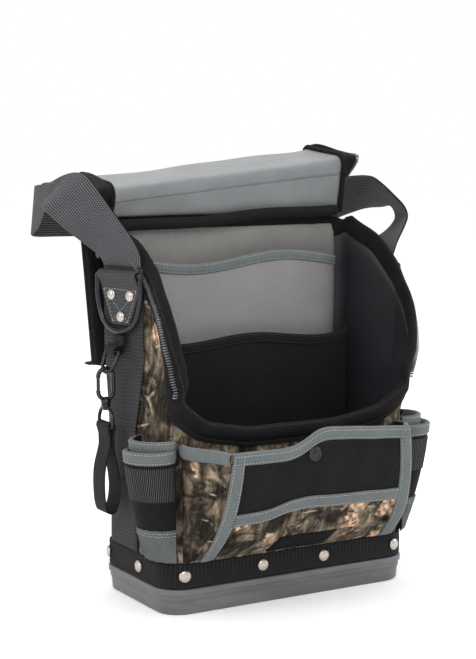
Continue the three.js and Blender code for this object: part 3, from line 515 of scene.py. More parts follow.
def dash(at, along, out, length, width, height):
    """One stitch: a low ridge lying on a surface."""
    along = along.normalized()
    across = out.cross(along).normalized()
    points = []
    for step, swell in ((-0.5, 0.45), (-0.25, 1), (0.25, 1), (0.5, 0.45)):
        middle = at + along * length * step
        points += [middle - across * width * swell / 2, middle + out * height * swell,
                   middle + across * width * swell / 2]
    faces = []
    for i in range(3):
        a = i * 3
        faces += [(a, a + 1, a + 4, a + 3), (a + 1, a + 2, a + 5, a + 4), (a + 2, a, a + 3, a + 5)]
    faces += [(2, 1, 0), (9, 10, 11)]
    return points, faces


def resample(path, spacing):
    """Points along a polyline at even spacing, each with its direction."""
    out = []
    carry = 0.0
    for a, b in zip(path, path[1:]):
        length = (b - a).length
        if length < 1e-9:
            continue
        t = carry
        while t < length:
            out.append((a.lerp(b, t / length), (b - a).normalized(), t / length))
            t += spacing
        carry = t - length
    return out


def stitches(name, lines, paint, body, spacing=3.0, length=2.0, width=0.55, height=0.35, nodes=(), blend=None):
    """Rows of stitches. A line is a list of (point, outward direction)."""
    chunks = []
    for line in lines:
        run = 0.0
        due = spacing / 2
        for (a, out_a), (b, out_b) in zip(line, line[1:]):
            step = (b - a).length
            while step > 1e-9 and due < run + step:
                t = (due - run) / step
                out = out_a.lerp(out_b, t).normalized()
                chunks.append(dash(a.lerp(b, t), b - a, out, length, width, height))
                due += spacing
            run += step
    return gathered(name, chunks, paint, body, smooth=True, blend=blend)


def spun(name, profile, at, axis, paint, body, sides=32, nodes=()):
    """A profile of (radius, height) turned about axis; it starts and ends on the axis."""
    turn = Vector((0, 0, 1)).rotation_difference(axis)
    points, uvs, faces = [], [], []
    for radius, height in profile:
        for i in range(sides):
            angle = 2 * PI * i / sides
            points.append(at + turn @ Vector((radius * math.cos(angle), radius * math.sin(angle), height)))
            uvs.append((radius * angle, height + radius))
    for i in range(len(profile) - 1):
        for j in range(sides):
            a, b = i * sides + j, i * sides + (j + 1) % sides
            faces.append((a, b, b + sides, a + sides))
    faces.append(tuple(reversed(range(sides))))
    faces.append(tuple((len(profile) - 1) * sides + j for j in range(sides)))
    return build(name, points, faces, uvs, [paint], body, nodes=nodes)


def mix(a, b, t):
    return a + (b - a) * t


def steps(start, end, count):
    return [mix(start, end, i / count) for i in range(count + 1)]


def between(pairs, place):
    """A value read off a list of (place, value) pairs, eased from one to the next."""
    if place <= pairs[0][0]:
        return pairs[0][1]
    for (p0, v0), (p1, v1) in zip(pairs, pairs[1:]):
        if place <= p1:
            return mix(v0, v1, (place - p0) / (p1 - p0))
    return pairs[-1][1]


def smoothed(function, place, reach):
    """The mean of a function over a short reach either side, which rounds its corners."""
    return sum(function(place + reach * d / 4) for d in range(-4, 5)) / 9


def spline(points, count):
    """A smooth curve through 3D points (Catmull-Rom), count points to a span."""
    padded = [points[0] * 2 - points[1], *points, points[-1] * 2 - points[-2]]
    out = []
    for i in range(1, len(padded) - 2):
        p0, p1, p2, p3 = padded[i - 1:i + 3]
        for n in range(count):
            t = n / count
            out.append(0.5 * ((2 * p1) + (p2 - p0) * t + (2 * p0 - 5 * p1 + 4 * p2 - p3) * t * t
                              + (3 * p1 - p0 - 3 * p2 + p3) * t ** 3))
    out.append(points[-1].copy())
    return out


def mm_box(node):
    low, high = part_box(node)
    return low / MM, high / MM


# ---- the body's surface, as the CAD's ----

shell_low, shell_high = mm_box("body_shell")
tray_low, tray_high = mm_box("base_tray")
band_low, band_high = mm_box("base_band")
HALF_WIDTH = 124
FRONT, BACK = shell_low.y, shell_high.y
FRONT_RADIUS, BACK_RADIUS = 22, 18
WALL = 3
FRONT_FLAT = HALF_WIDTH - FRONT_RADIUS
SIDE_START = FRONT_FLAT + FRONT_RADIUS * PI / 2
SIDE_END = SIDE_START + (BACK - BACK_RADIUS) - (FRONT + FRONT_RADIUS)
BACK_START = SIDE_END + BACK_RADIUS * PI / 2
HALF_ROUND = BACK_START + HALF_WIDTH - BACK_RADIUS
EDGE = [(46, 152), (88, 160), (102, 168.5), (114, 178), (124, 189), (132, 205), (136, 222), (140, 236), (148, 254),
        (166, 276), (188, 301), (228, 322), (253, 331)]
SKEW, SKEW_REAR, SKEW_REACH, SKEW_LOW, SKEW_HIGH = 0.25, 40, 57.2, 156, 215


def clamp(value, low, high):
    return min(max(value, low), high)


def half_width(z):
    return between([(46, 126), (110, 126), (165, 127.5), (230, 131)], z)


def skew(y, z):
    """How far the open mouth leans to the right there."""
    return SKEW * clamp((z - SKEW_LOW) / (SKEW_HIGH - SKEW_LOW), 0, 1) * clamp(SKEW_REAR - y, 0, SKEW_REACH)


def on_body(s, z, lift=0.0):
    """A point on the body, s round it from the front centre (+ to the right), lift outwards."""
    side = -1 if s < 0 else 1
    d = abs(s)
    if d > HALF_ROUND:
        side, d = -side, 2 * HALF_ROUND - d
    x, y, nx, ny = min(d, FRONT_FLAT), FRONT, 0.0, -1.0
    if d > BACK_START:
        x, y, ny = HALF_ROUND - d, BACK, 1.0
    elif d > SIDE_END:
        angle = (d - SIDE_END) / BACK_RADIUS
        nx, ny = math.cos(angle), math.sin(angle)
        x, y = HALF_WIDTH - BACK_RADIUS + BACK_RADIUS * nx, BACK - BACK_RADIUS + BACK_RADIUS * ny
    elif d > SIDE_START:
        nx, ny = 1.0, 0.0
        x, y = HALF_WIDTH, FRONT + FRONT_RADIUS + d - SIDE_START
    elif d > FRONT_FLAT:
        angle = (d - FRONT_FLAT) / FRONT_RADIUS
        nx, ny = math.sin(angle), -math.cos(angle)
        x, y = FRONT_FLAT + FRONT_RADIUS * nx, FRONT + FRONT_RADIUS + FRONT_RADIUS * ny
    scale = half_width(z) / HALF_WIDTH
    return Vector((side * (x * scale + nx * lift) + skew(y, z), y + ny * lift, z))


def out_of_body(s):
    return (on_body(s, 35, 1) - on_body(s, 35)).normalized()


def edge_height(s):
    return smoothed(lambda d: between(EDGE, d), abs(s), 5)


def off_edge(s, rise, lift):
    """A point off the cloth's free edge, rise measured square to it over the body's surface."""
    slope = (edge_height(s + 2) - edge_height(s - 2)) / 4
    length = math.hypot(slope, 1)
    return on_body(s - slope / length * rise, edge_height(s) + rise / length, lift)


def side_at(y):
    return SIDE_START + y - (FRONT + FRONT_RADIUS)


def round_columns(pitch):
    count = int(2 * HALF_ROUND / pitch)
    return [-HALF_ROUND + 2 * HALF_ROUND * i / count for i in range(count)]


def edge_columns(pitch):
    """Columns round the body, closer together where its free edge climbs steeply."""
    columns, s = [], -HALF_ROUND
    while s < HALF_ROUND - 1e-6:
        columns.append(s)
        s += pitch * (0.35 if 106 < abs(s + 1) < 168 else 1)
    return columns


def wall_out(side):
    """Outward from the side wall of the leaning mouth."""
    return Vector((side, side * SKEW, 0)).normalized()


def on_wall(side, d, z, lift):
    """A point on the side wall of the leaning mouth, d back from the strap's middle line."""
    foot = Vector((side * half_width(z) + skew(STRAP_Y, z), STRAP_Y, z))
    return foot + Vector((-SKEW, 1, 0)).normalized() * d + wall_out(side) * lift


STRAP_Y = 16
STRAP_HALF = 25


def wander(s, z, size, seed=0.0):
    """A smooth value of about -1 to 1 that wanders over the cloth."""
    a = math.sin(s / size + seed) + math.sin(z / (size * 0.8) + 1.7 * seed + 0.6 * math.sin(s / size * 0.7))
    return 0.5 * a


# ---- base tray, band, rivets ----

def make_base():
    columns = round_columns(4)
    over = tray_high.x - half_width(35)
    profile = [(0, over - 7.5), (0, over - 5.2), (0.5, over - 4.2), (1.6, over - 3.6), (11.4, over - 2.6),
               (12.2, over - 2.4), (12.6, over - 1.7), (16.6, over - 1.4), (17.2, over - 1.2), (17.6, over - 0.3),
               (18.4, over), (21.6, over), (22.6, over - 0.3), (23, over - 1.1), (23, -WALL - 0.3), (43.4, -WALL - 0.3),
               (44, -WALL - 0.8), (44, -WALL - 2.4), (43.4, -WALL - 2.8), (5, -WALL - 2.8), (3, -WALL - 5)]
    points, uvs, faces = [], [], []
    runs = [0.0]
    for (z0, l0), (z1, l1) in zip(profile, profile[1:]):
        runs.append(runs[-1] + math.hypot(z1 - z0, l1 - l0))
    for (z, lift), run in zip(profile, runs):
        for s in columns:
            points.append(on_body(s, z, lift))
            uvs.append((s, run))
    size = len(columns)
    for i in range(len(profile) - 1):
        for j in range(size):
            a, b = i * size + j, i * size + (j + 1) % size
            faces.append((a, b, b + size, a + size))
    faces.append(tuple(reversed(range(size))))
    faces.append(tuple((len(profile) - 1) * size + j for j in range(size)))
    build("tray", points, faces, uvs, [TRAY], "pouch", nodes=["base_tray"])

    rows = steps(band_low.z, band_high.z, 6)
    grid = [[on_body(s, z, 1.9 + 0.3 * math.sin((z - band_low.z) / 22 * PI)) for z in rows] for s in columns]
    uv = [[(s, z) for z in rows] for s in columns]
    sheet("riveted_band", grid, 1.4, BAND, "pouch", wrap=True, uv=uv, nodes=["base_band"])
    hems = [[(on_body(s, z, 2.2), out_of_body(s)) for s in columns] for z in (band_low.z + 2, band_high.z - 2)]
    stitches("band_stitches", hems, DARK_THREAD, "pouch")


DOME = [(0, 0), (4.6, 0), (5.3, 0.25), (5.5, 0.7), (5.3, 1.2), (4.7, 1.9), (3.6, 2.5), (2.2, 2.85), (0.9, 3.0), (0, 3.02)]


def dome_rivet(name, at, axis, scale=1.0):
    profile = [(max(r, 0.001) * scale, h * scale) for r, h in DOME]
    spun(name + "_dome", profile, at, axis, NICKEL, "pouch", nodes=[name])


def make_rivets():
    for node in sorted(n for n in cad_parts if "_rivet_" in n):
        low, high = mm_box(node)
        middle = (low + high) / 2
        if node.startswith("band"):
            # the place round the body nearest to the rivet's middle
            s = min(round_columns(1), key=lambda d: (on_body(d, 35) - middle).length)
            dome_rivet(node, on_body(s, 35, 2.1), out_of_body(s))
        else:
            side = 1 if middle.x > 0 else -1
            across = wall_out(side)
            reach = ((high.x - low.x) - 2.4) / 1.94 - 2.5
            dome_rivet(node, middle + across * reach, across, 0.95)


# ---- body shell, zipper and rear edge ----

def make_shell():
    columns = edge_columns(5)
    count = 26
    grid, uv = [], []
    for s in columns:
        top = edge_height(s)
        heights = [mix(shell_low.z, top, j / count) for j in range(count + 1)]
        line = []
        for z in heights:
            rise = (z - 46) / max(top - 46, 1)
            ease = math.sin(PI * min(max(rise, 0), 1)) ** 0.6
            line.append(on_body(s, z, ease * (1.2 * wander(s, z, 17) + 0.5 * wander(s, z, 7, 2.0))))
        grid.append(line)
        uv.append([(s, z) for z in heights])
    sheet("body_cloth", grid, WALL, WOODLAND, "pouch", wrap=True, inner=BLACK_SATIN,
          rim=BLACK_CLOTH, uv=uv, nodes=["body_shell"])


ZIP_END = 217.4
LIP_END, TEETH_START = 114, 122
SIDE_SECTION = [(-3, 0.6), (0.0, 1.2), (2.6, 1.3), (4.6, 1.1), (5.2, 0.5), (8.2, 0.3), (8.8, 1.0), (11.5, 1.1),
                (14.5, 0.3), (17, -1.4), (18.6, -3.6), (18.8, -5.6), (17.4, -6.8), (13, -6.0), (8, -4.8), (2, -4.4)]
LIP_SECTION = [(-10, 0.7), (-8.6, 1.8), (-7.4, 1.9), (-6.4, 1.3), (-5, 2.6), (-2, 4.1), (1.5, 4.5), (4.6, 3.7),
               (6.8, 1.8), (7.5, -0.6), (7.0, -3.0), (5.2, -5.2), (2.4, -6.6), (-1.5, -6.9), (-6, -5.8), (-10, -4.6)]


def opening_section(s):
    """The black cloth over the free edge: a rolled lip in front and behind, a flap with its zipper at the sides."""
    d = abs(s)
    flap = clamp((d - LIP_END) / 12, 0, 1) * clamp((ZIP_END + 14 - d) / 12, 0, 1)
    flap = flap * flap * (3 - 2 * flap)
    return [(mix(a, b, flap), mix(c, e, flap)) for (a, c), (b, e) in zip(LIP_SECTION, SIDE_SECTION)]


def make_zipper():
    """The black cloth over the body's free edge, with the zipper's teeth standing on it."""
    columns = edge_columns(4)
    grid, uv = [], []
    for s in columns:
        loose = 0.6 * math.sin(s / 9) + 0.35 * math.sin(s / 4.3)
        section = opening_section(s)
        grid.append([off_edge(s, rise, lift + (loose if i > 6 else 0.25 * loose))
                     for i, (rise, lift) in enumerate(section)])
        uv.append([(s, 4.5 * i) for i in range(len(section))])
    sheet("opening_band", grid, 1.0, BLACK_CLOTH, "pouch", wrap=True, uv=uv, nodes=["zip_tape"])

    seams = []
    for index in (0.5, 2.6, 7.5):
        low, high = int(index), int(index) + 1
        line = []
        for i, s in enumerate(columns):
            line.append((grid[i][low].lerp(grid[i][high], index - low), out_of_body(s)))
        seams.append(line)
    stitches("opening_stitches", seams, DARK_THREAD, "pouch")

    chunks = []
    for side in (-1, 1):
        path, marks = [], []
        count = 160
        for i in range(count + 1):
            s = side * mix(TEETH_START, ZIP_END, i / count)
            section = opening_section(s)
            path.append(off_edge(s, section[4][0] + 1.5, section[4][1] + 1.2))
            marks.append(s)
        for at, along, place in resample(path, 2.3):
            s = min(marks, key=lambda d: (off_edge(d, 6.7, 1.1) - at).length)
            out = out_of_body(s)
            up = along.cross(out)
            up = -up if up.z < 0 else up
            chunks.append(tooth(at, along, (out * 0.95 + up * 0.2).normalized(), 1.35))
    gathered("zipper_teeth", chunks, TEETH, "pouch", nodes=["zip_chain"])


def tooth(at, along, out, size=1.0):
    """One moulded tooth: a short rounded peg."""
    across = out.cross(along).normalized()
    points = []
    for reach, swell in ((-1.2, 0.9), (1.2, 1.0), (2.0, 0.6)):
        for a, b in ((-1, -1), (1, -1), (1, 1), (-1, 1)):
            points.append(at + out * reach * size + (along * 0.55 * a + across * 1.25 * b) * swell * size)
    faces = [(3, 2, 1, 0), (8, 9, 10, 11)]
    for base in (0, 4):
        for j in range(4):
            a, b = base + j, base + (j + 1) % 4
            faces.append((a, b, b + 4, a + 4))
    return points, faces


# ---- front pocket ----

pocket_low, pocket_high = mm_box("front_pocket")
POCKET_BOTTOM = pocket_low.z
POCKET_TOP = [(-92, 148), (-34, 147), (-22, 152), (-8, 160), (4, 162), (30, 160), (92, 155)]
LOWER_BINDING = [(-0.92, 88), (-0.55, 89), (-0.35, 95), (-0.08, 98), (0.07, 96), (0.86, 94)]


def pocket_top(a):
    return smoothed(lambda x: between(POCKET_TOP, x), a * 92, 7)


def lower_binding(a):
    return smoothed(lambda t: between(LOWER_BINDING, t), a, 0.09)


def on_pocket(a, z, lift=0.0):
    """A point on the front pocket's face, a from -1 to 1 across it."""
    half = mix(101, 92, (z - POCKET_BOTTOM) / 105)
    bulge = 44 * (1 - (1 - (z - POCKET_BOTTOM) / 112) ** 3)
    flat = 0.6 * math.sin(a * 9 + z / 23) + 0.5 * math.sin(a * 17 - z / 14)
    return Vector((a * half, -68.4 - bulge - lift + min(flat, 0.6), z))


def face_strip(name, lines, thickness, paint, nodes=(), lifted=1.5, arch=0.7):
    """A tape on the pocket's face; lines are its edge-to-edge rows as (a, z) at each step along it."""
    grid = []
    for line in lines:
        count = len(line) - 1
        grid.append([on_pocket(a, z, lifted + arch * math.sin(PI * j / count)) for j, (a, z) in enumerate(line)])
    sheet(name, grid, thickness, paint, "pouch", nodes=nodes)


def face_line(path, lift):
    out = Vector((0, -1, 0.1))
    return [(on_pocket(a, z, lift), out) for a, z in path]


def make_front_pocket():
    rows = 22
    grid = []

    def column(points):
        grid.append(points)

    def gusset_column(side, t):
        """t from 0 at the seam on the body to 1 at the face's edge."""
        line = []
        for j in range(rows + 1):
            top = mix(150, pocket_top(side), t)
            z = mix(POCKET_BOTTOM, top, j / rows)
            seam = on_body(side * 109, z, 1.6)
            edge = on_pocket(side, z, 0)
            point = seam.lerp(edge, t)
            depth = 6 * (j / rows) ** 0.7
            fold = math.sin(2 * PI * t)
            point.x += side * (3.0 * math.sin(PI * t) + depth * 0.55 * fold)
            line.append(point)
        return line

    for t in steps(0, 1, 12)[:-1]:
        column(gusset_column(-1, t))
    for a in steps(-1, 1, 44):
        column([on_pocket(a, mix(POCKET_BOTTOM, pocket_top(a), j / rows), 0) for j in range(rows + 1)])
    for t in reversed(steps(0, 1, 12)[:-1]):
        column(gusset_column(1, t))
    sheet("front_pocket_cloth", grid, 2.2, WOODLAND, "pouch", inner=BLACK_CLOTH, rim=BINDING,
          nodes=["front_pocket"])

    across = steps(-0.985, 0.985, 44)
    inner = steps(-0.86, 0.86, 40)
    lines = [[(a, mix(lower_binding(a) + 2, pocket_top(a) - 6, j / 10)) for j in range(11)] for a in inner]
    face_strip("front_pocket_panel", lines, 0.7, BLACK_CLOTH, lifted=0.9, arch=0.2)

    top_section = [(-10.5, 1.1), (-9.6, 2.0), (-6, 2.7), (-2.5, 2.7), (-0.4, 2.0), (0.3, 0.4), (0.3, -1.6), (-0.8, -3.2),
                   (-5, -3.6), (-10, -3.5)]
    grid = [[on_pocket(a, pocket_top(a) + rise, lift) for rise, lift in top_section] for a in across]
    sheet("front_pocket_top_tape", grid, 0.9, BINDING, "pouch", nodes=["front_pocket_top_binding"])
    for side in (-1, 1):
        word = "left" if side < 0 else "right"
        grid = []
        for i in range(15):
            t = i / 14 if side > 0 else 1 - i / 14
            t = 1 - t if side > 0 else 1 - t
            t = t if side < 0 else 1 - t
            line = []
            for rise, lift in top_section[:8]:
                top = mix(pocket_top(side), 150, t if side > 0 else t)
                column_at = gusset_column(side, 1 - t)
                point = column_at[-1].copy()
                point.z += rise
                point.x += side * max(lift, -1.5)
                line.append(point)
            grid.append(line)
        if side < 0:
            grid.reverse()
        sheet(f"pocket_gusset_tape_{word}", grid, 0.9, BINDING, "pouch")

    lines = [[(a, lower_binding(a) + d) for d in steps(-5.5, 5.5, 6)] for a in inner]
    face_strip("front_pocket_lower_tape", lines, 1.0, BINDING, ["front_pocket_lower_binding"], 2.4, 0.8)
    for word, side in (("left", -1), ("right", 1)):
        edges = steps(0.86, 0.99, 6) if side > 0 else steps(-0.99, -0.86, 6)
        lines = []
        for a in edges:
            lines.append([(a, mix(POCKET_BOTTOM + 1, pocket_top(side * 0.93) - 9, j / 24)) for j in range(25)])
        grid = []
        for i, line in enumerate(lines):
            arch = 1.9 + 0.9 * math.sin(PI * i / (len(lines) - 1))
            grid.append([on_pocket(a, z, arch) for a, z in line])
        sheet(f"front_pocket_{word}_tape", grid, 1.0, BINDING, "pouch",
              nodes=[f"front_pocket_{word}_binding"])
    rows_of_thread = []
    for d in (-8.6, -2.2):
        rows_of_thread.append(face_line([(a, pocket_top(a) + d) for a in across], 2.75))
    for d in (-3.9, 3.9):
        rows_of_thread.append(face_line([(a, lower_binding(a) + d) for a in inner], 3.0))
    for side in (-1, 1):
        for a in (0.875, 0.972):
            rows_of_thread.append(face_line([(side * a, z) for z in steps(POCKET_BOTTOM + 2, 146, 20)], 2.6))
    stitches("front_pocket_stitches", rows_of_thread, GREY_THREAD, "pouch")

    snap_low, snap_high = mm_box("snap_cap")
    middle = (snap_low + snap_high) / 2
    profile = [(0.001, 0), (6.0, 0), (6.6, 0.5), (6.5, 1.2), (5.6, 1.7), (4.6, 1.8), (4.2, 1.5), (3.6, 1.4), (2, 1.9),
               (0.001, 2.1)]
    spun("snap_cap_dome", profile, Vector((middle.x, snap_high.y + 0.2, middle.z)), Vector((0, -1, 0.06)).normalized(),
         BLACK_METAL, "pouch", nodes=["snap_cap"])
    corners = [(-34, 49), (24, 49), (31, 63), (-27, 63)]
    grid = []
    for i in range(13):
        t = i / 12
        foot, head = mix(corners[0][0], corners[1][0], t), mix(corners[3][0], corners[2][0], t)
        line = []
        for j in range(7):
            x, z = mix(foot, head, j / 6), mix(49, 63, j / 6)
            swell = 0.5 * (1 - abs(2 * t - 1) ** 6) * (1 - abs(j / 3 - 1) ** 4)
            line.append(on_pocket(x / mix(101, 92, (z - POCKET_BOTTOM) / 105), z, 1.9 + swell))
        grid.append(line)
    sheet("blank_label", grid, 1.3, LABEL, "pouch", nodes=["label"])


# ---- side and pen pockets, side webbing ----

def bulge_at(z, depth):
    return depth * (1 - (1 - clamp((z - 47) / 107, 0, 1)) ** 2)


def arc(s, a, b):
    return max(math.sin(PI * clamp((s - a) / (b - a), 0, 1)), 0) ** 0.7


SIDE_FRONT_SEAM, SIDE_REAR_SEAM, PEN_REAR_SEAM = 114, 156, 143


def side_pocket_at(side, d, z, lift=0.0):
    pleat = 0.5 * math.sin(d * 0.9) * clamp((80 - z) / 25, 0, 1)
    return on_body(side * d, z, 3.3 + bulge_at(z, 18) * arc(d, SIDE_FRONT_SEAM, SIDE_REAR_SEAM) + pleat + lift)


def pen_pocket_at(side, d, z, lift=0.0):
    return side_pocket_at(side, d, z, 2.7 + bulge_at(z, 6.5) * arc(d, SIDE_FRONT_SEAM, PEN_REAR_SEAM) + lift)


def side_tape(name, place, side, d0, d1, z, half, lift, nodes=()):
    """A bound top edge on a side pocket."""
    section = [(-half * 2, 0.3), (-half * 1.8, 1.0), (-half, 1.4), (-0.8, 1.2), (0, 0.4), (0.2, -1.4), (-0.6, -3.0),
               (-half * 1.6, -3.2)]
    places = steps(side * d0, side * d1, 16)
    places = sorted(places)
    grid = [[place(side, abs(d), z + rise, lift + out) for rise, out in section] for d in places]
    sheet(name, grid, 0.9, BINDING, "pouch", nodes=nodes)
    return [[(place(side, abs(d), z + rise, lift + 1.5), out_of_body(d)) for d in places]
            for rise in (-half * 1.7, -1.6)]


def make_side_pockets():
    thread = []
    for word, side in (("left", -1), ("right", 1)):
        places = sorted(side * d for d in steps(SIDE_FRONT_SEAM, SIDE_REAR_SEAM, 24))
        zs = steps(47, 153, 30)
        grid = [[side_pocket_at(side, abs(d), z) for z in zs] for d in places]
        sheet(f"side_pocket_{word}_cloth", grid, 2.2, BLACK_CLOTH, "pouch", nodes=[f"side_pocket_{word}"])
        thread += side_tape(f"side_pocket_{word}_tape", side_pocket_at, side, SIDE_FRONT_SEAM, SIDE_REAR_SEAM, 154,
                            6.2, 0.3)
        places = sorted(side * d for d in steps(SIDE_FRONT_SEAM, PEN_REAR_SEAM, 18))
        zs = steps(47, 145, 30)
        grid = [[pen_pocket_at(side, abs(d), z) for z in zs] for d in places]
        sheet(f"pen_pocket_{word}_cloth", grid, 1.6, BLACK_CLOTH, "pouch", nodes=[f"pen_pocket_{word}"])
        thread += side_tape(f"pen_pocket_{word}_tape", pen_pocket_at, side, SIDE_FRONT_SEAM, PEN_REAR_SEAM, 146,
                            5.4, 0.3)
        places = sorted(side * d for d in steps(SIDE_FRONT_SEAM + 0.5, PEN_REAR_SEAM - 0.5, 56))
        zs = steps(103, 132, 8)
        grid = [[pen_pocket_at(side, abs(d), z, 0.7 + 0.35 * math.sin(d * 2 * PI / 1.9)) for z in zs] for d in places]
        sheet(f"pen_elastic_{word}", grid, 0.9, ELASTIC, "pouch")
        places = sorted(side * d for d in steps(SIDE_FRONT_SEAM, SIDE_REAR_SEAM, 60))
        zs = steps(48, 77, 12)
        grid = []
        for d in places:
            line = []
            for z in zs:
                gather = 0.55 * math.sin(abs(d) * 1.35 + math.sin(z / 4)) * clamp((z - 50) / 12, 0, 1)
                base = pen_pocket_at(side, abs(d), z) if abs(d) < PEN_REAR_SEAM else side_pocket_at(side, abs(d), z)
                step = side_pocket_at(side, abs(d), z, 2.7 * clamp((PEN_REAR_SEAM + 4 - abs(d)) / 4, 0, 1))
                line.append((base if abs(d) < PEN_REAR_SEAM else step) + out_of_body(d) * (0.8 + gather))
            grid.append(line)
        sheet(f"pocket_foot_{word}", grid, 0.8, SEAT_CLOTH, "pouch")
        for z in (74.6, 72.4):
            thread.append([(grid[i][int((z - 48) / 29 * 12)] + out_of_body(d) * 0.3, out_of_body(d))
                           for i, d in enumerate(places)])
        places = sorted(side * side_at(STRAP_Y + y) for y in steps(-STRAP_HALF, STRAP_HALF, 8))
        zs = steps(47, 296.5, 60)
        grid = [[on_body(s, z, 2.5 + 0.15 * wander(s, z, 9)) for z in zs] for s in places]
        uv = [[(s, z) for z in zs] for s in places]
        sheet(f"side_strip_{word}", grid, 1.5, SIDE_STRIP, "pouch", uv=uv,
              nodes=[f"side_webbing_{word}"])
    stitches("side_pocket_stitches", thread, GREY_THREAD, "pouch")


# ---- ring tabs, rings, hook and tape strap ----

def ring_path(half, drop, place, count=10):
    """The centre line of a D-ring; place turns (out, back, up) from its bar into a point."""
    bend = [(half - 3, 0), (half - 0.6, -1.2), (half, -4), (half * 0.98, -drop * 0.45), (half * 0.68, -drop * 0.85),
            (0, -drop), (-half * 0.68, -drop * 0.85), (-half * 0.98, -drop * 0.45), (-half, -4), (-half + 0.6, -1.2),
            (-half + 3, 0)]
    curve = spline([Vector((0, y, z)) for y, z in bend], count)
    return [place(p) for p in curve]


TAB_PATH = [(6.1, 246), (6.1, 255), (6.1, 264), (6.1, 274), (6.5, 279), (7.7, 282.8), (9.5, 285.6), (11, 287.8),
            (11.6, 290), (11, 292.2), (9.4, 293.8), (7.2, 294.4), (5, 293.8), (3.5, 292.2), (3.0, 290), (3.0, 280),
            (3.0, 262), (3.0, 246.5)]


def make_ring_tabs():
    thread = []
    for word, side in (("left", -1), ("right", 1)):
        fractions = steps(-1, 1, 12) if side > 0 else steps(1, -1, 12)
        grid = []
        for t in fractions:
            line = []
            for lift, z in TAB_PATH:
                half = mix(12, STRAP_HALF - 0.4, clamp((z - 246) / 30, 0, 1))
                line.append(on_wall(side, t * half, z, lift))
            grid.append(line)
        runs = [0.0]
        for (a, b), (c, d) in zip(TAB_PATH, TAB_PATH[1:]):
            runs.append(runs[-1] + math.hypot(c - a, d - b))
        uv = [[(t * STRAP_HALF, run) for run in runs] for t in fractions]
        sheet(f"ring_tab_{word}_strap", grid, 1.3, TAB_STRIP, "pouch", uv=uv,
              nodes=[f"ring_tab_{word}"])

        def line_on(points):
            return [(on_wall(side, d, z, 6.25), wall_out(side)) for d, z in points]

        thread.append(line_on([(-STRAP_HALF + 3, 277), (STRAP_HALF - 3, 277)]))
        thread.append(line_on([(-10, 249), (10, 249)]))
        thread.append(line_on([(-STRAP_HALF + 3, 277), (-10, 249)]))
        thread.append(line_on([(STRAP_HALF - 3, 277), (10, 249)]))
        thread.append(line_on([(-STRAP_HALF + 3, 277), (10, 249)]))
        thread.append(line_on([(STRAP_HALF - 3, 277), (-10, 249)]))

        def hang(p):
            return on_wall(side, p.y, 290 + p.z, 7.2)

        tube(f"ring_{word}_wire", ring_path(28.5, 50, hang), 2.4, BLACK_METAL, f"ring_{word}", sides=14,
             closed=True, nodes=[f"ring_{word}"])
    stitches("ring_tab_stitches", thread, GREY_THREAD, "pouch", spacing=3.4, length=2.4)


def plate(name, outline, thickness, place, paint, body, bevel=0.6, nodes=()):
    """A flat plate with eased edges: outline in its own plane, place turns (u, v, w) into a point."""
    middle = Vector((sum(u for u, v in outline), sum(v for u, v in outline))) / len(outline)
    rings = []
    for w, inset in ((-thickness / 2, bevel), (-thickness / 2 + bevel, 0), (thickness / 2 - bevel, 0),
                     (thickness / 2, bevel)):
        ring = []
        for u, v in outline:
            away = Vector((u, v)) - middle
            shrink = 1 - inset / max(away.length, 1)
            ring.append((middle.x + away.x * shrink, middle.y + away.y * shrink, w))
        rings.append(ring)
    points = [place(*p) for ring in rings for p in ring]
    uvs = [(p[0], p[1] + p[2]) for ring in rings for p in ring]
    size = len(outline)
    faces = []
    for i in range(3):
        for j in range(size):
            a, b = i * size + j, i * size + (j + 1) % size
            faces.append((a, b, b + size, a + size))
    faces.append(tuple(reversed(range(size))))
    faces.append(tuple(3 * size + j for j in range(size)))
    return build(name, points, faces, uvs, [paint], body, nodes=nodes, smooth=False)


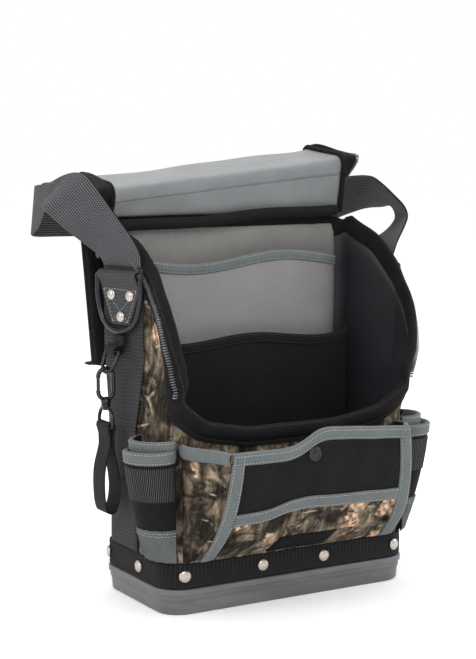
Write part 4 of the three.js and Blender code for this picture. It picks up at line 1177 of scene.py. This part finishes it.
def make_hook():
    small_low, small_high = mm_box("small_ring")
    lean = math.radians(22)
    bar = Vector((small_high.x - 1.6, STRAP_Y, 224))

    def leaning(p):
        return bar + Vector((p.z * math.sin(lean), p.y, p.z * math.cos(lean)))

    tube("small_ring_wire", ring_path(12, 21, leaning), 1.6, BLACK_METAL, "small_ring", sides=12,
         closed=True, nodes=["small_ring"])

    tab_low, tab_high = mm_box("small_ring_tab")
    wall = tab_high.x
    path = [(wall - 2.6, 236.5), (wall - 2.9, 231), (wall - 3.4, 228.4), (bar.x + 0.5, 229.2), (bar.x - 2.6, 228.1),
            (bar.x - 4.4, 226), (bar.x - 5, 223.5), (bar.x - 4.3, 221), (bar.x - 2.4, 219.2), (bar.x, 218.6),
            (bar.x + 2.4, 219.4), (wall - 0.9, 222.5), (wall - 0.2, 228), (wall - 0.2, 236.5)]
    grid = [[Vector((x, STRAP_Y + d, z)) for x, z in path] for d in steps(9, -9, 6)]
    sheet("small_tab_strap", grid, 1.1, TAPE_STRAP, "pouch", nodes=["small_ring_tab"], turn=True)

    hook_low, hook_high = mm_box("hook_body")
    x = (hook_low.x + hook_high.x) / 2
    top = hook_high.z
    upper, lower = top - 9, top - 22
    radius = 7.3
    path = []
    for i in range(13):
        angle = mix(-0.1, PI + 0.15, i / 12)
        path.append(Vector((x + radius * math.cos(angle), STRAP_Y, upper + radius * math.sin(angle))))
    path.insert(0, Vector((x + radius, STRAP_Y, mix(lower, upper, 0.5))))
    start = [Vector((x + radius * math.cos(a), STRAP_Y, lower + radius * math.sin(a)))
             for a in steps(-PI - 0.12, 0, 12)]
    line = start + path
    tube("hook_wire", spline(line, 2), 1.9, BLACK_METAL, "hook", sides=14, nodes=["hook_body"],
         squeeze=1.25, flat=Vector((0, 1, 0)))
    knob = [(0.001, -9.6), (2.6, -9.6), (3.0, -8.6), (3.0, -7.8), (1.7, -7.2), (1.7, -4.2), (3.6, -4.0), (4.5, -3.2),
            (4.5, -1.2), (3.4, 0.2), (2.6, 1.6), (0.001, 2.4)]
    foot = hook_low.z + 7.6
    spun("hook_swivel_post", [(r, h + 2) for r, h in knob], Vector((x, STRAP_Y, foot)), Vector((0, 0, 1)), BLACK_METAL,
         "hook", sides=20)
    gate_low, gate_high = mm_box("hook_gate")
    gate_x = (gate_low.x + gate_high.x) / 2
    tube("hook_gate_bar", [Vector((gate_x, STRAP_Y, z)) for z in steps(gate_low.z + 1, gate_high.z - 0.2, 6)], 1.45,
         BLACK_METAL, "hook_gate", sides=12, nodes=["hook_gate"], flat=Vector((0, 1, 0)), squeeze=1.3)

    eye_low, eye_high = mm_box("hook_eye")
    bar_z = eye_low.z + 1.6
    half = 13.5
    bend = [(half - 3, 0), (half - 0.8, 0.8), (half, 3), (half * 0.98, 8), (half * 0.7, 14), (4, 17), (0, 18),
            (-4, 17), (-half * 0.7, 14), (-half * 0.98, 8), (-half, 3), (-half + 0.8, 0.8), (-half + 3, 0)]
    loop = spline([Vector((x, STRAP_Y + y, bar_z + z)) for y, z in bend], 6)
    tube("hook_eye_wire", loop, 1.6, BLACK_METAL, "tape_hanger", sides=12, closed=True,
         nodes=["hook_eye"])
    collar = [(0.001, -1.8), (2.2, -1.8), (3.9, -1.4), (4.3, -0.4), (4.3, 0.9), (3.4, 1.6), (0.001, 1.6)]
    spun("hook_eye_collar", collar, Vector((x, STRAP_Y, bar_z + 18.4)), Vector((0, 0, 1)), BLACK_METAL, "tape_hanger",
         sides=20)

    half_loop = [(0.4, 3.1), (2.4, 2.2), (3.1, 0), (2.4, -3), (1.5, -7), (1.4, -12), (1.5, -18), (3.2, -26),
                 (5.4, -36), (6.8, -48), (6.8, -60), (5.2, -70), (2.6, -75.6)]
    outline = half_loop + [(-a, b) for a, b in reversed(half_loop)]
    outline = [(a, b) for a, b in outline] + [outline[0]]
    curve = spline([Vector((x + a, 0, bar_z + b)) for a, b in outline], 3)
    wave = [0.35 * math.sin(p.z / 7) for p in curve]
    grid = [[Vector((p.x + w, STRAP_Y + d, p.z)) for p, w in zip(curve, wave)] for d in steps(11, -11, 6)]
    sheet("tape_strap_webbing", grid, 1.3, TAPE_STRAP, "tape_hanger", nodes=["tape_strap"], turn=True)
    box = []
    for a in (-8, 8):
        box.append([(Vector((x - 2.0, STRAP_Y + a, bar_z + z)), Vector((-1, 0, 0))) for z in (-7, -18)])
    for z in (-7, -18):
        box.append([(Vector((x - 2.0, STRAP_Y - 8, bar_z + z)), Vector((-1, 0, 0))),
                    (Vector((x - 2.0, STRAP_Y + 8, bar_z + z)), Vector((-1, 0, 0)))])
    stitches("tape_strap_stitches", box, DARK_THREAD, "tape_hanger")


def make_sliders():
    for word, side in (("left", -1), ("right", 1)):
        low, high = mm_box(f"zip_slider_{word}")
        middle = (low + high) / 2

        def place(u, v, w):
            return Vector((middle.x + side * w, middle.y + u, middle.z + v))

        outline = [(-4.3, 1.2), (-3.4, 3.2), (-1.6, 3.8), (1.6, 3.8), (3.4, 3.2), (4.3, 1.2), (4.2, -1.6), (2.6, -3.8),
                   (-2.6, -3.8), (-4.2, -1.6)]
        plate(f"zip_slider_{word}_body", outline if side > 0 else outline[::-1], 6.6, place, NICKEL, "pouch",
              1.1, nodes=[f"zip_slider_{word}"])
        low, high = mm_box(f"zip_pull_{word}")
        middle = (low + high) / 2
        outline = []
        for i in range(13):
            a = PI * i / 12
            outline.append((3.2 * math.cos(a), high.z - middle.z - 3.3 + 3.2 * math.sin(a)))
        for i in range(13):
            a = PI + PI * i / 12
            outline.append((3.9 * math.cos(a), low.z - middle.z + 4 + 3.9 * math.sin(a)))
        plate(f"zip_pull_{word}_tag", outline if side > 0 else outline[::-1], 1.5, place, BLACK_METAL,
              f"zip_pull_{word}", 0.4, nodes=[f"zip_pull_{word}"])


# ---- lid ----

def rounded(points, radius, count=6):
    """A polyline with its inner corners rounded."""
    out = [points[0]]
    for before, at, after in zip(points, points[1:], points[2:]):
        reach = min(radius, (before - at).length * 0.49, (after - at).length * 0.49)
        a, b = at + (before - at).normalized() * reach, at + (after - at).normalized() * reach
        for i in range(count + 1):
            t = i / count
            out.append(a * (1 - t) ** 2 + at * 2 * t * (1 - t) + b * t * t)
    out.append(points[-1])
    return out


def evenly(path, spacing):
    points = [p for p, _, _ in resample(path, spacing)]
    return points + [path[-1]]


LID_TILT = 0.1
ROOT_SETTLE = 26  # the lid lies level along its root and takes its full tilt this far up
LID_ROOT, LID_FRONT, LID_REAR, LID_TIP = (50, 338), (40.5, 378.5), (114.5, 389), (82, 214)
RISE_MIDDLE, CROWN_MIDDLE = (45.5, 362.5), (77.5, 383)


def across_hinge(a, b, start, end):
    """A blend rule from start to end, places in Y and Z, its line square to the tilted hinges."""
    drop = LID_TILT * (end[1] - start[1])
    return (a, b), Vector((0, *start)), Vector((-drop, *end))


LID_PARTS = [
    ("rise", across_hinge("pouch", "lid_rise", (50, 341), (46, 355))),
    ("crown", across_hinge("lid_rise", "lid_crown", (43.5, 368), (56, 380.5))),
    ("front", across_hinge("lid_crown", "lid_front", (99, 386.5), (112.5, 373))),
]


def tilted(point):
    return point + Vector((0, 0, LID_TILT * point.x))


def lid_line():
    corners = [Vector((0, y, z)) for y, z in (LID_ROOT, LID_FRONT, LID_REAR, LID_TIP)]
    return evenly(rounded(corners, 13, 8), 3.0)


def lid_spans(line):
    """The index range of each of the lid's three parts along its line; neighbours share a place."""
    def nearest(place):
        goal = Vector((0, *place))
        return min(range(len(line)), key=lambda i: (line[i] - goal).length)
    first, second = nearest(RISE_MIDDLE), nearest(CROWN_MIDDLE)
    return [(0, first), (first, second), (second, len(line) - 1)]


def make_lid():
    line = lid_line()
    columns = steps(-123.5, 123.5, 60)
    normals = []
    for i, p in enumerate(line):
        ahead = line[min(i + 1, len(line) - 1)] - line[max(i - 1, 0)]
        normals.append(Vector((0, -ahead.z, ahead.y)).normalized())
    runs = [0.0]
    for a, b in zip(line, line[1:]):
        runs.append(runs[-1] + (b - a).length)

    def skin(x, i, lift):
        ripple = 0.9 * math.sin(x / 31 + 0.5) * math.sin(runs[i] / 23) + 0.5 * math.sin(x / 13 + runs[i] / 17)
        edge = abs(x) / 123.5
        puff = 1.0 - edge ** 10 * 0.6
        point = Vector((x, line[i].y, line[i].z)) + normals[i] * (lift * puff - max(ripple, -1) * 0.8)
        return point + Vector((0, 0, LID_TILT * x * min(1.0, runs[i] / ROOT_SETTLE)))

    for (word, rule), (low, high) in zip(LID_PARTS, lid_spans(line)):
        # each stretch runs a little way under the next one
        rows = range(low, high + (1 if word == "front" else 3))
        grid = [[skin(x, i, -3.0 - 0.15 * max(i - high, 0)) for i in rows] for x in columns]
        uv = [[(x, runs[i]) for i in rows] for x in columns]
        piece = sheet(f"lid_{word}_skin", grid, 5.6, LINING, "pouch", inner=BLACK_CLOTH,
                      rim=BLACK_CLOTH if word == "front" else LINING, uv=uv, nodes=[f"lid_{word}_panel"], blend=rule,
                      crisp=True)
        for side_word, side in (("left", -1), ("right", 1)):
            points = [skin(side * 123.5, i, 0) for i in range(low, high + 1)]
            tube(f"lid_{word}_{side_word}_piping", points, 2.9, BLACK_CLOTH, "lid_front", sides=10,
                 blend=rule)
    make_gussets()


HANGING = [((106, 334), (18, 3.5, 0)), ((94, 270), (20, 3, 0)), ((84.2, 214.5), (19, 3, 0))]
END_GUSSET_ROOT, END_GUSSET_RISE = 80, 4  # the end gusset starts inside the lid's lower edge, at this Y and this far up
LEFT_GUSSET = [((51, 350), (-6, 2, 5)), ((41, 373), (-22, -3, 2)), ((54, 383), (-29, 2, -6)), ((96, 390), (-30, 8, -10)),
               ((115, 378), (-21, 17, -5)), *HANGING]
RIGHT_GUSSET = [((51, 350), (-6, 2, 5)), ((41, 373), (-9, -4, 3)), ((54, 383), (-10, 2, -2)), ((96, 390), (-11, 8, -5)),
                ((115, 378), (-12, 17, -4)), *HANGING]


def make_gussets():
    for word, side, stations in (("left", -1, LEFT_GUSSET), ("right", 1, RIGHT_GUSSET)):
        roots = [tilted(Vector((side * 125.2, y, z))) for (y, z), _ in stations]
        widths = [Vector((-side * out, back, rise)) for _, (out, back, rise) in stations]
        fine_roots, fine_widths = spline(roots, 10), spline(widths, 10)
        split = []
        for place in (RISE_MIDDLE, CROWN_MIDDLE):
            goal = tilted(Vector((side * 125.2, *place)))
            split.append(min(range(len(fine_roots)), key=lambda i: (fine_roots[i] - goal).length))
        spans = [(0, split[0]), (split[0], split[1]), (split[1], len(fine_roots) - 1)]
        lengths = [0.0]
        for a, b in zip(fine_roots, fine_roots[1:]):
            lengths.append(lengths[-1] + (b - a).length)
        for (part, rule), (low, high) in zip(LID_PARTS, spans):
            grid, uv = [], []
            for t in (steps(0, 1, 8) if side > 0 else steps(1, 0, 8)):
                line_points = []
                for i in range(low, high + 1):
                    buckle = 0.8 * math.sin(lengths[i] / 8 + 3 * t) * math.sin(PI * t)
                    point = fine_roots[i] + fine_widths[i] * t
                    line_points.append(point + Vector((side * (buckle + 1.2 * math.sin(PI * t)), 0, 0)))
                grid.append(line_points)
                uv.append([(t * 25, lengths[i]) for i in range(low, high + 1)])
            sheet(f"lid_{part}_{word}_gusset", grid, 1.5, BLACK_CLOTH, "lid_front", uv=uv, blend=rule,
                  nodes=[f"lid_gusset_{word}"] if part == "front" else ())
            chunks = []
            edge = [fine_roots[i] + fine_widths[i] * 1.0 for i in range(low, high + 1)]
            for at, along, _ in resample(edge, 2.0):
                near = min(range(low, high + 1), key=lambda i: (fine_roots[i] + fine_widths[i] - at).length)
                away = fine_widths[near].normalized()
                chunks.append(tooth(at + away * 0.6, along, away))
            if chunks:
                gathered(f"lid_{part}_{word}_teeth", chunks, TEETH, "lid_front", blend=rule)
    low, high = mm_box("lid_gusset_end")
    rows = steps(END_GUSSET_ROOT, high.y, 8)
    grid = []
    for x in steps(low.x, high.x, 60):
        grid.append([tilted(Vector((x, y, 214 + END_GUSSET_RISE * (1 - j / 8) ** 2
                                    + 0.8 * math.sin(x / 11 + y / 6) * math.sin(PI * j / 8))))
                     for j, y in enumerate(rows)])
    sheet("lid_end_gusset", grid, 1.5, BLACK_CLOTH, "lid_front", nodes=["lid_gusset_end"])
    chunks = []
    for at, along, _ in resample([tilted(Vector((x, high.y, 214))) for x in (low.x, high.x)], 2.0):
        chunks.append(tooth(at + Vector((0, 0.6, -0.7)), along, Vector((0, 1, 0))))
    gathered("lid_end_teeth", chunks, TEETH, "lid_front")


# ---- carry strap ----

STRAP_EDGES = [
    ((-120.8, -8.5, 297.4), (-132.7, 39, 297.4)), ((-121.5, -7, 309), (-138, 38.6, 306)),
    ((-127, 1, 325), (-150, 41, 316)), ((-139, 11.5, 346), (-167, 41.3, 328)),
    ((-150.5, 20, 366), (-181, 45, 341)), ((-157, 26, 376), (-187, 47, 347)),
    ((-161, 38, 378), (-182, 61, 351)), ((-163, 60, 375), (-170, 84, 346)),
    ((-162, 92, 368), (-164, 112, 328)), ((-157, 134, 364), (-157, 142, 318)),
    ((-122, 148, 363), (-122, 154, 316)), ((-60, 152, 362), (-60, 158, 315)),
    ((0, 153, 362), (0, 159, 315)), ((60, 152, 362), (60, 158, 315)),
    ((122, 148, 363), (122, 154, 316)), ((159, 134, 365), (159, 142, 319)),
    ((166, 94, 370), (172, 114, 330)), ((161, 54, 371), (178, 84, 338)),
    ((160, 34, 365), (186, 66, 340)), ((166, 20, 353), (190, 58, 341)),
    ((169.5, 9, 343.5), (191, 52, 333)), ((168, 1, 334.5), (186, 48, 326)),
    ((160, -5, 325), (170, 41.3, 317)), ((150, -8, 311), (145, 38.6, 306)),
    ((144.9, -8.5, 298.1), (133, 39, 298.1)),
]


def make_strap():
    upper = spline([Vector(a) for a, b in STRAP_EDGES], 5)
    lower = spline([Vector(b) for a, b in STRAP_EDGES], 5)
    runs = [0.0]
    for i in range(1, len(upper)):
        a, b = (upper[i] + lower[i]) / 2, (upper[i - 1] + lower[i - 1]) / 2
        runs.append(runs[-1] + (a - b).length)
    grid = [[a.lerp(b, t) for a, b in zip(upper, lower)] for t in steps(0, 1, 8)]
    uv = [[(t * 50, run) for run in runs] for t in steps(0, 1, 8)]
    sheet("carry_strap_webbing", grid, 1.6, STRAP, "carry_strap", uv=uv, nodes=["carry_strap"],
          blend=(("pouch", "carry_strap"), Vector((0, STRAP_Y, 299)), Vector((0, STRAP_Y, 322))))


# ---- inside ----

def tier(name, paint, half, front, back, bottom, top, nodes, edge_paint):
    """A pocket sewn to the wall behind it: its cloth swells forward between its seams."""
    columns = steps(-half, half, 48)
    zs = steps(bottom, 1, 16)
    grid = []
    for x in columns:
        a = abs(x) / half
        swell = (1 - a ** 9) ** 0.8
        line = [Vector((x, back - 0.5, bottom)), Vector((x, mix(back, front, 0.5 * swell), bottom + 0.3))]
        for j in range(17):
            z = mix(bottom + 1.5, top(x), j / 16)
            ripple = 0.6 * math.sin(x / 15 + z / 31) * (j / 16)
            y = mix(back - 0.6, front, swell) + ripple
            line.append(Vector((x, clamp(y, front, back), z)))
        grid.append(line)
    sheet(f"{name}_cloth", grid, 1.6, paint, "pouch", nodes=nodes)
    section = [(-9, 0.5), (-8.4, 1.2), (-4, 1.5), (-0.6, 1.1), (0.2, 0.2), (0.2, -1.4), (-0.6, -2.4), (-8, -2.6)]
    tape = []
    for i, x in enumerate(columns):
        rim = grid[i][-1]
        tape.append([Vector((x, rim.y - lift, rim.z + rise)) for rise, lift in section])
    sheet(f"{name}_tape", tape, 0.8, edge_paint, "pouch")
    lines = [[(tape[i][1] + Vector((0, -0.4, 1)), Vector((0, -1, 0))) for i in range(len(columns))],
             [(tape[i][3] + Vector((0, -0.5, -0.4)), Vector((0, -1, 0))) for i in range(len(columns))]]
    stitches(f"{name}_stitches", lines, GREY_THREAD if edge_paint is BINDING else DARK_THREAD, "pouch")


def make_inside():
    tier("tier_top", TIER_CLOTH, 118, 31, 51.5, 170, lambda x: 299 + 5 * math.sin(x / 30), ["tier_top"],
         BINDING)
    tier("tier_middle", BLACK_CLOTH, 118, 8, 30, 70, lambda x: 228 + 3 * math.cos(x / 24), ["tier_middle"],
         BLACK_CLOTH)
    tier("tier_front", BLACK_CLOTH, 86, -55, -36, 50, lambda x: 148, ["tier_front"], BLACK_CLOTH)
    low, high = mm_box("mesh_panel")
    zs = steps(low.z, high.z, 40)
    grid = [[Vector((x, 52.3 + 0.7 * math.sin(x / 21) * math.sin(z / 19), z)) for z in zs]
            for x in steps(-119, 119, 54)]
    sheet("mesh_lining", grid, 1.4, MESH, "pouch", nodes=["mesh_panel"])
    low, high = mm_box("back_board")
    outline = [(low.x, low.z + 6), (low.x + 2, low.z + 2), (low.x + 6, low.z), (high.x - 6, low.z),
               (high.x - 2, low.z + 2), (high.x, low.z + 6), (high.x, high.z - 6), (high.x - 2, high.z - 2),
               (high.x - 6, high.z), (low.x + 6, high.z), (low.x + 2, high.z - 2), (low.x, high.z - 6)]
    plate("stiffener", outline, 1.8, lambda u, v, w: Vector((u, 55.5 - w, v)), BOARD, "pouch", 0.5,
          nodes=["back_board"])
    roll = [Vector((x, 45.5 + 0.8 * math.sin(x / 17), 335 + 0.05 * x + 1.2 * math.sin(x / 23)))
            for x in steps(-116, 116, 70)]
    tube("rear_roll", roll, 5.2, BLACK_CLOTH, "pouch", sides=16)


make_base()
make_rivets()
make_shell()
make_zipper()
make_front_pocket()
make_side_pockets()
make_ring_tabs()
make_hook()
make_sliders()
make_lid()
make_strap()
make_inside()
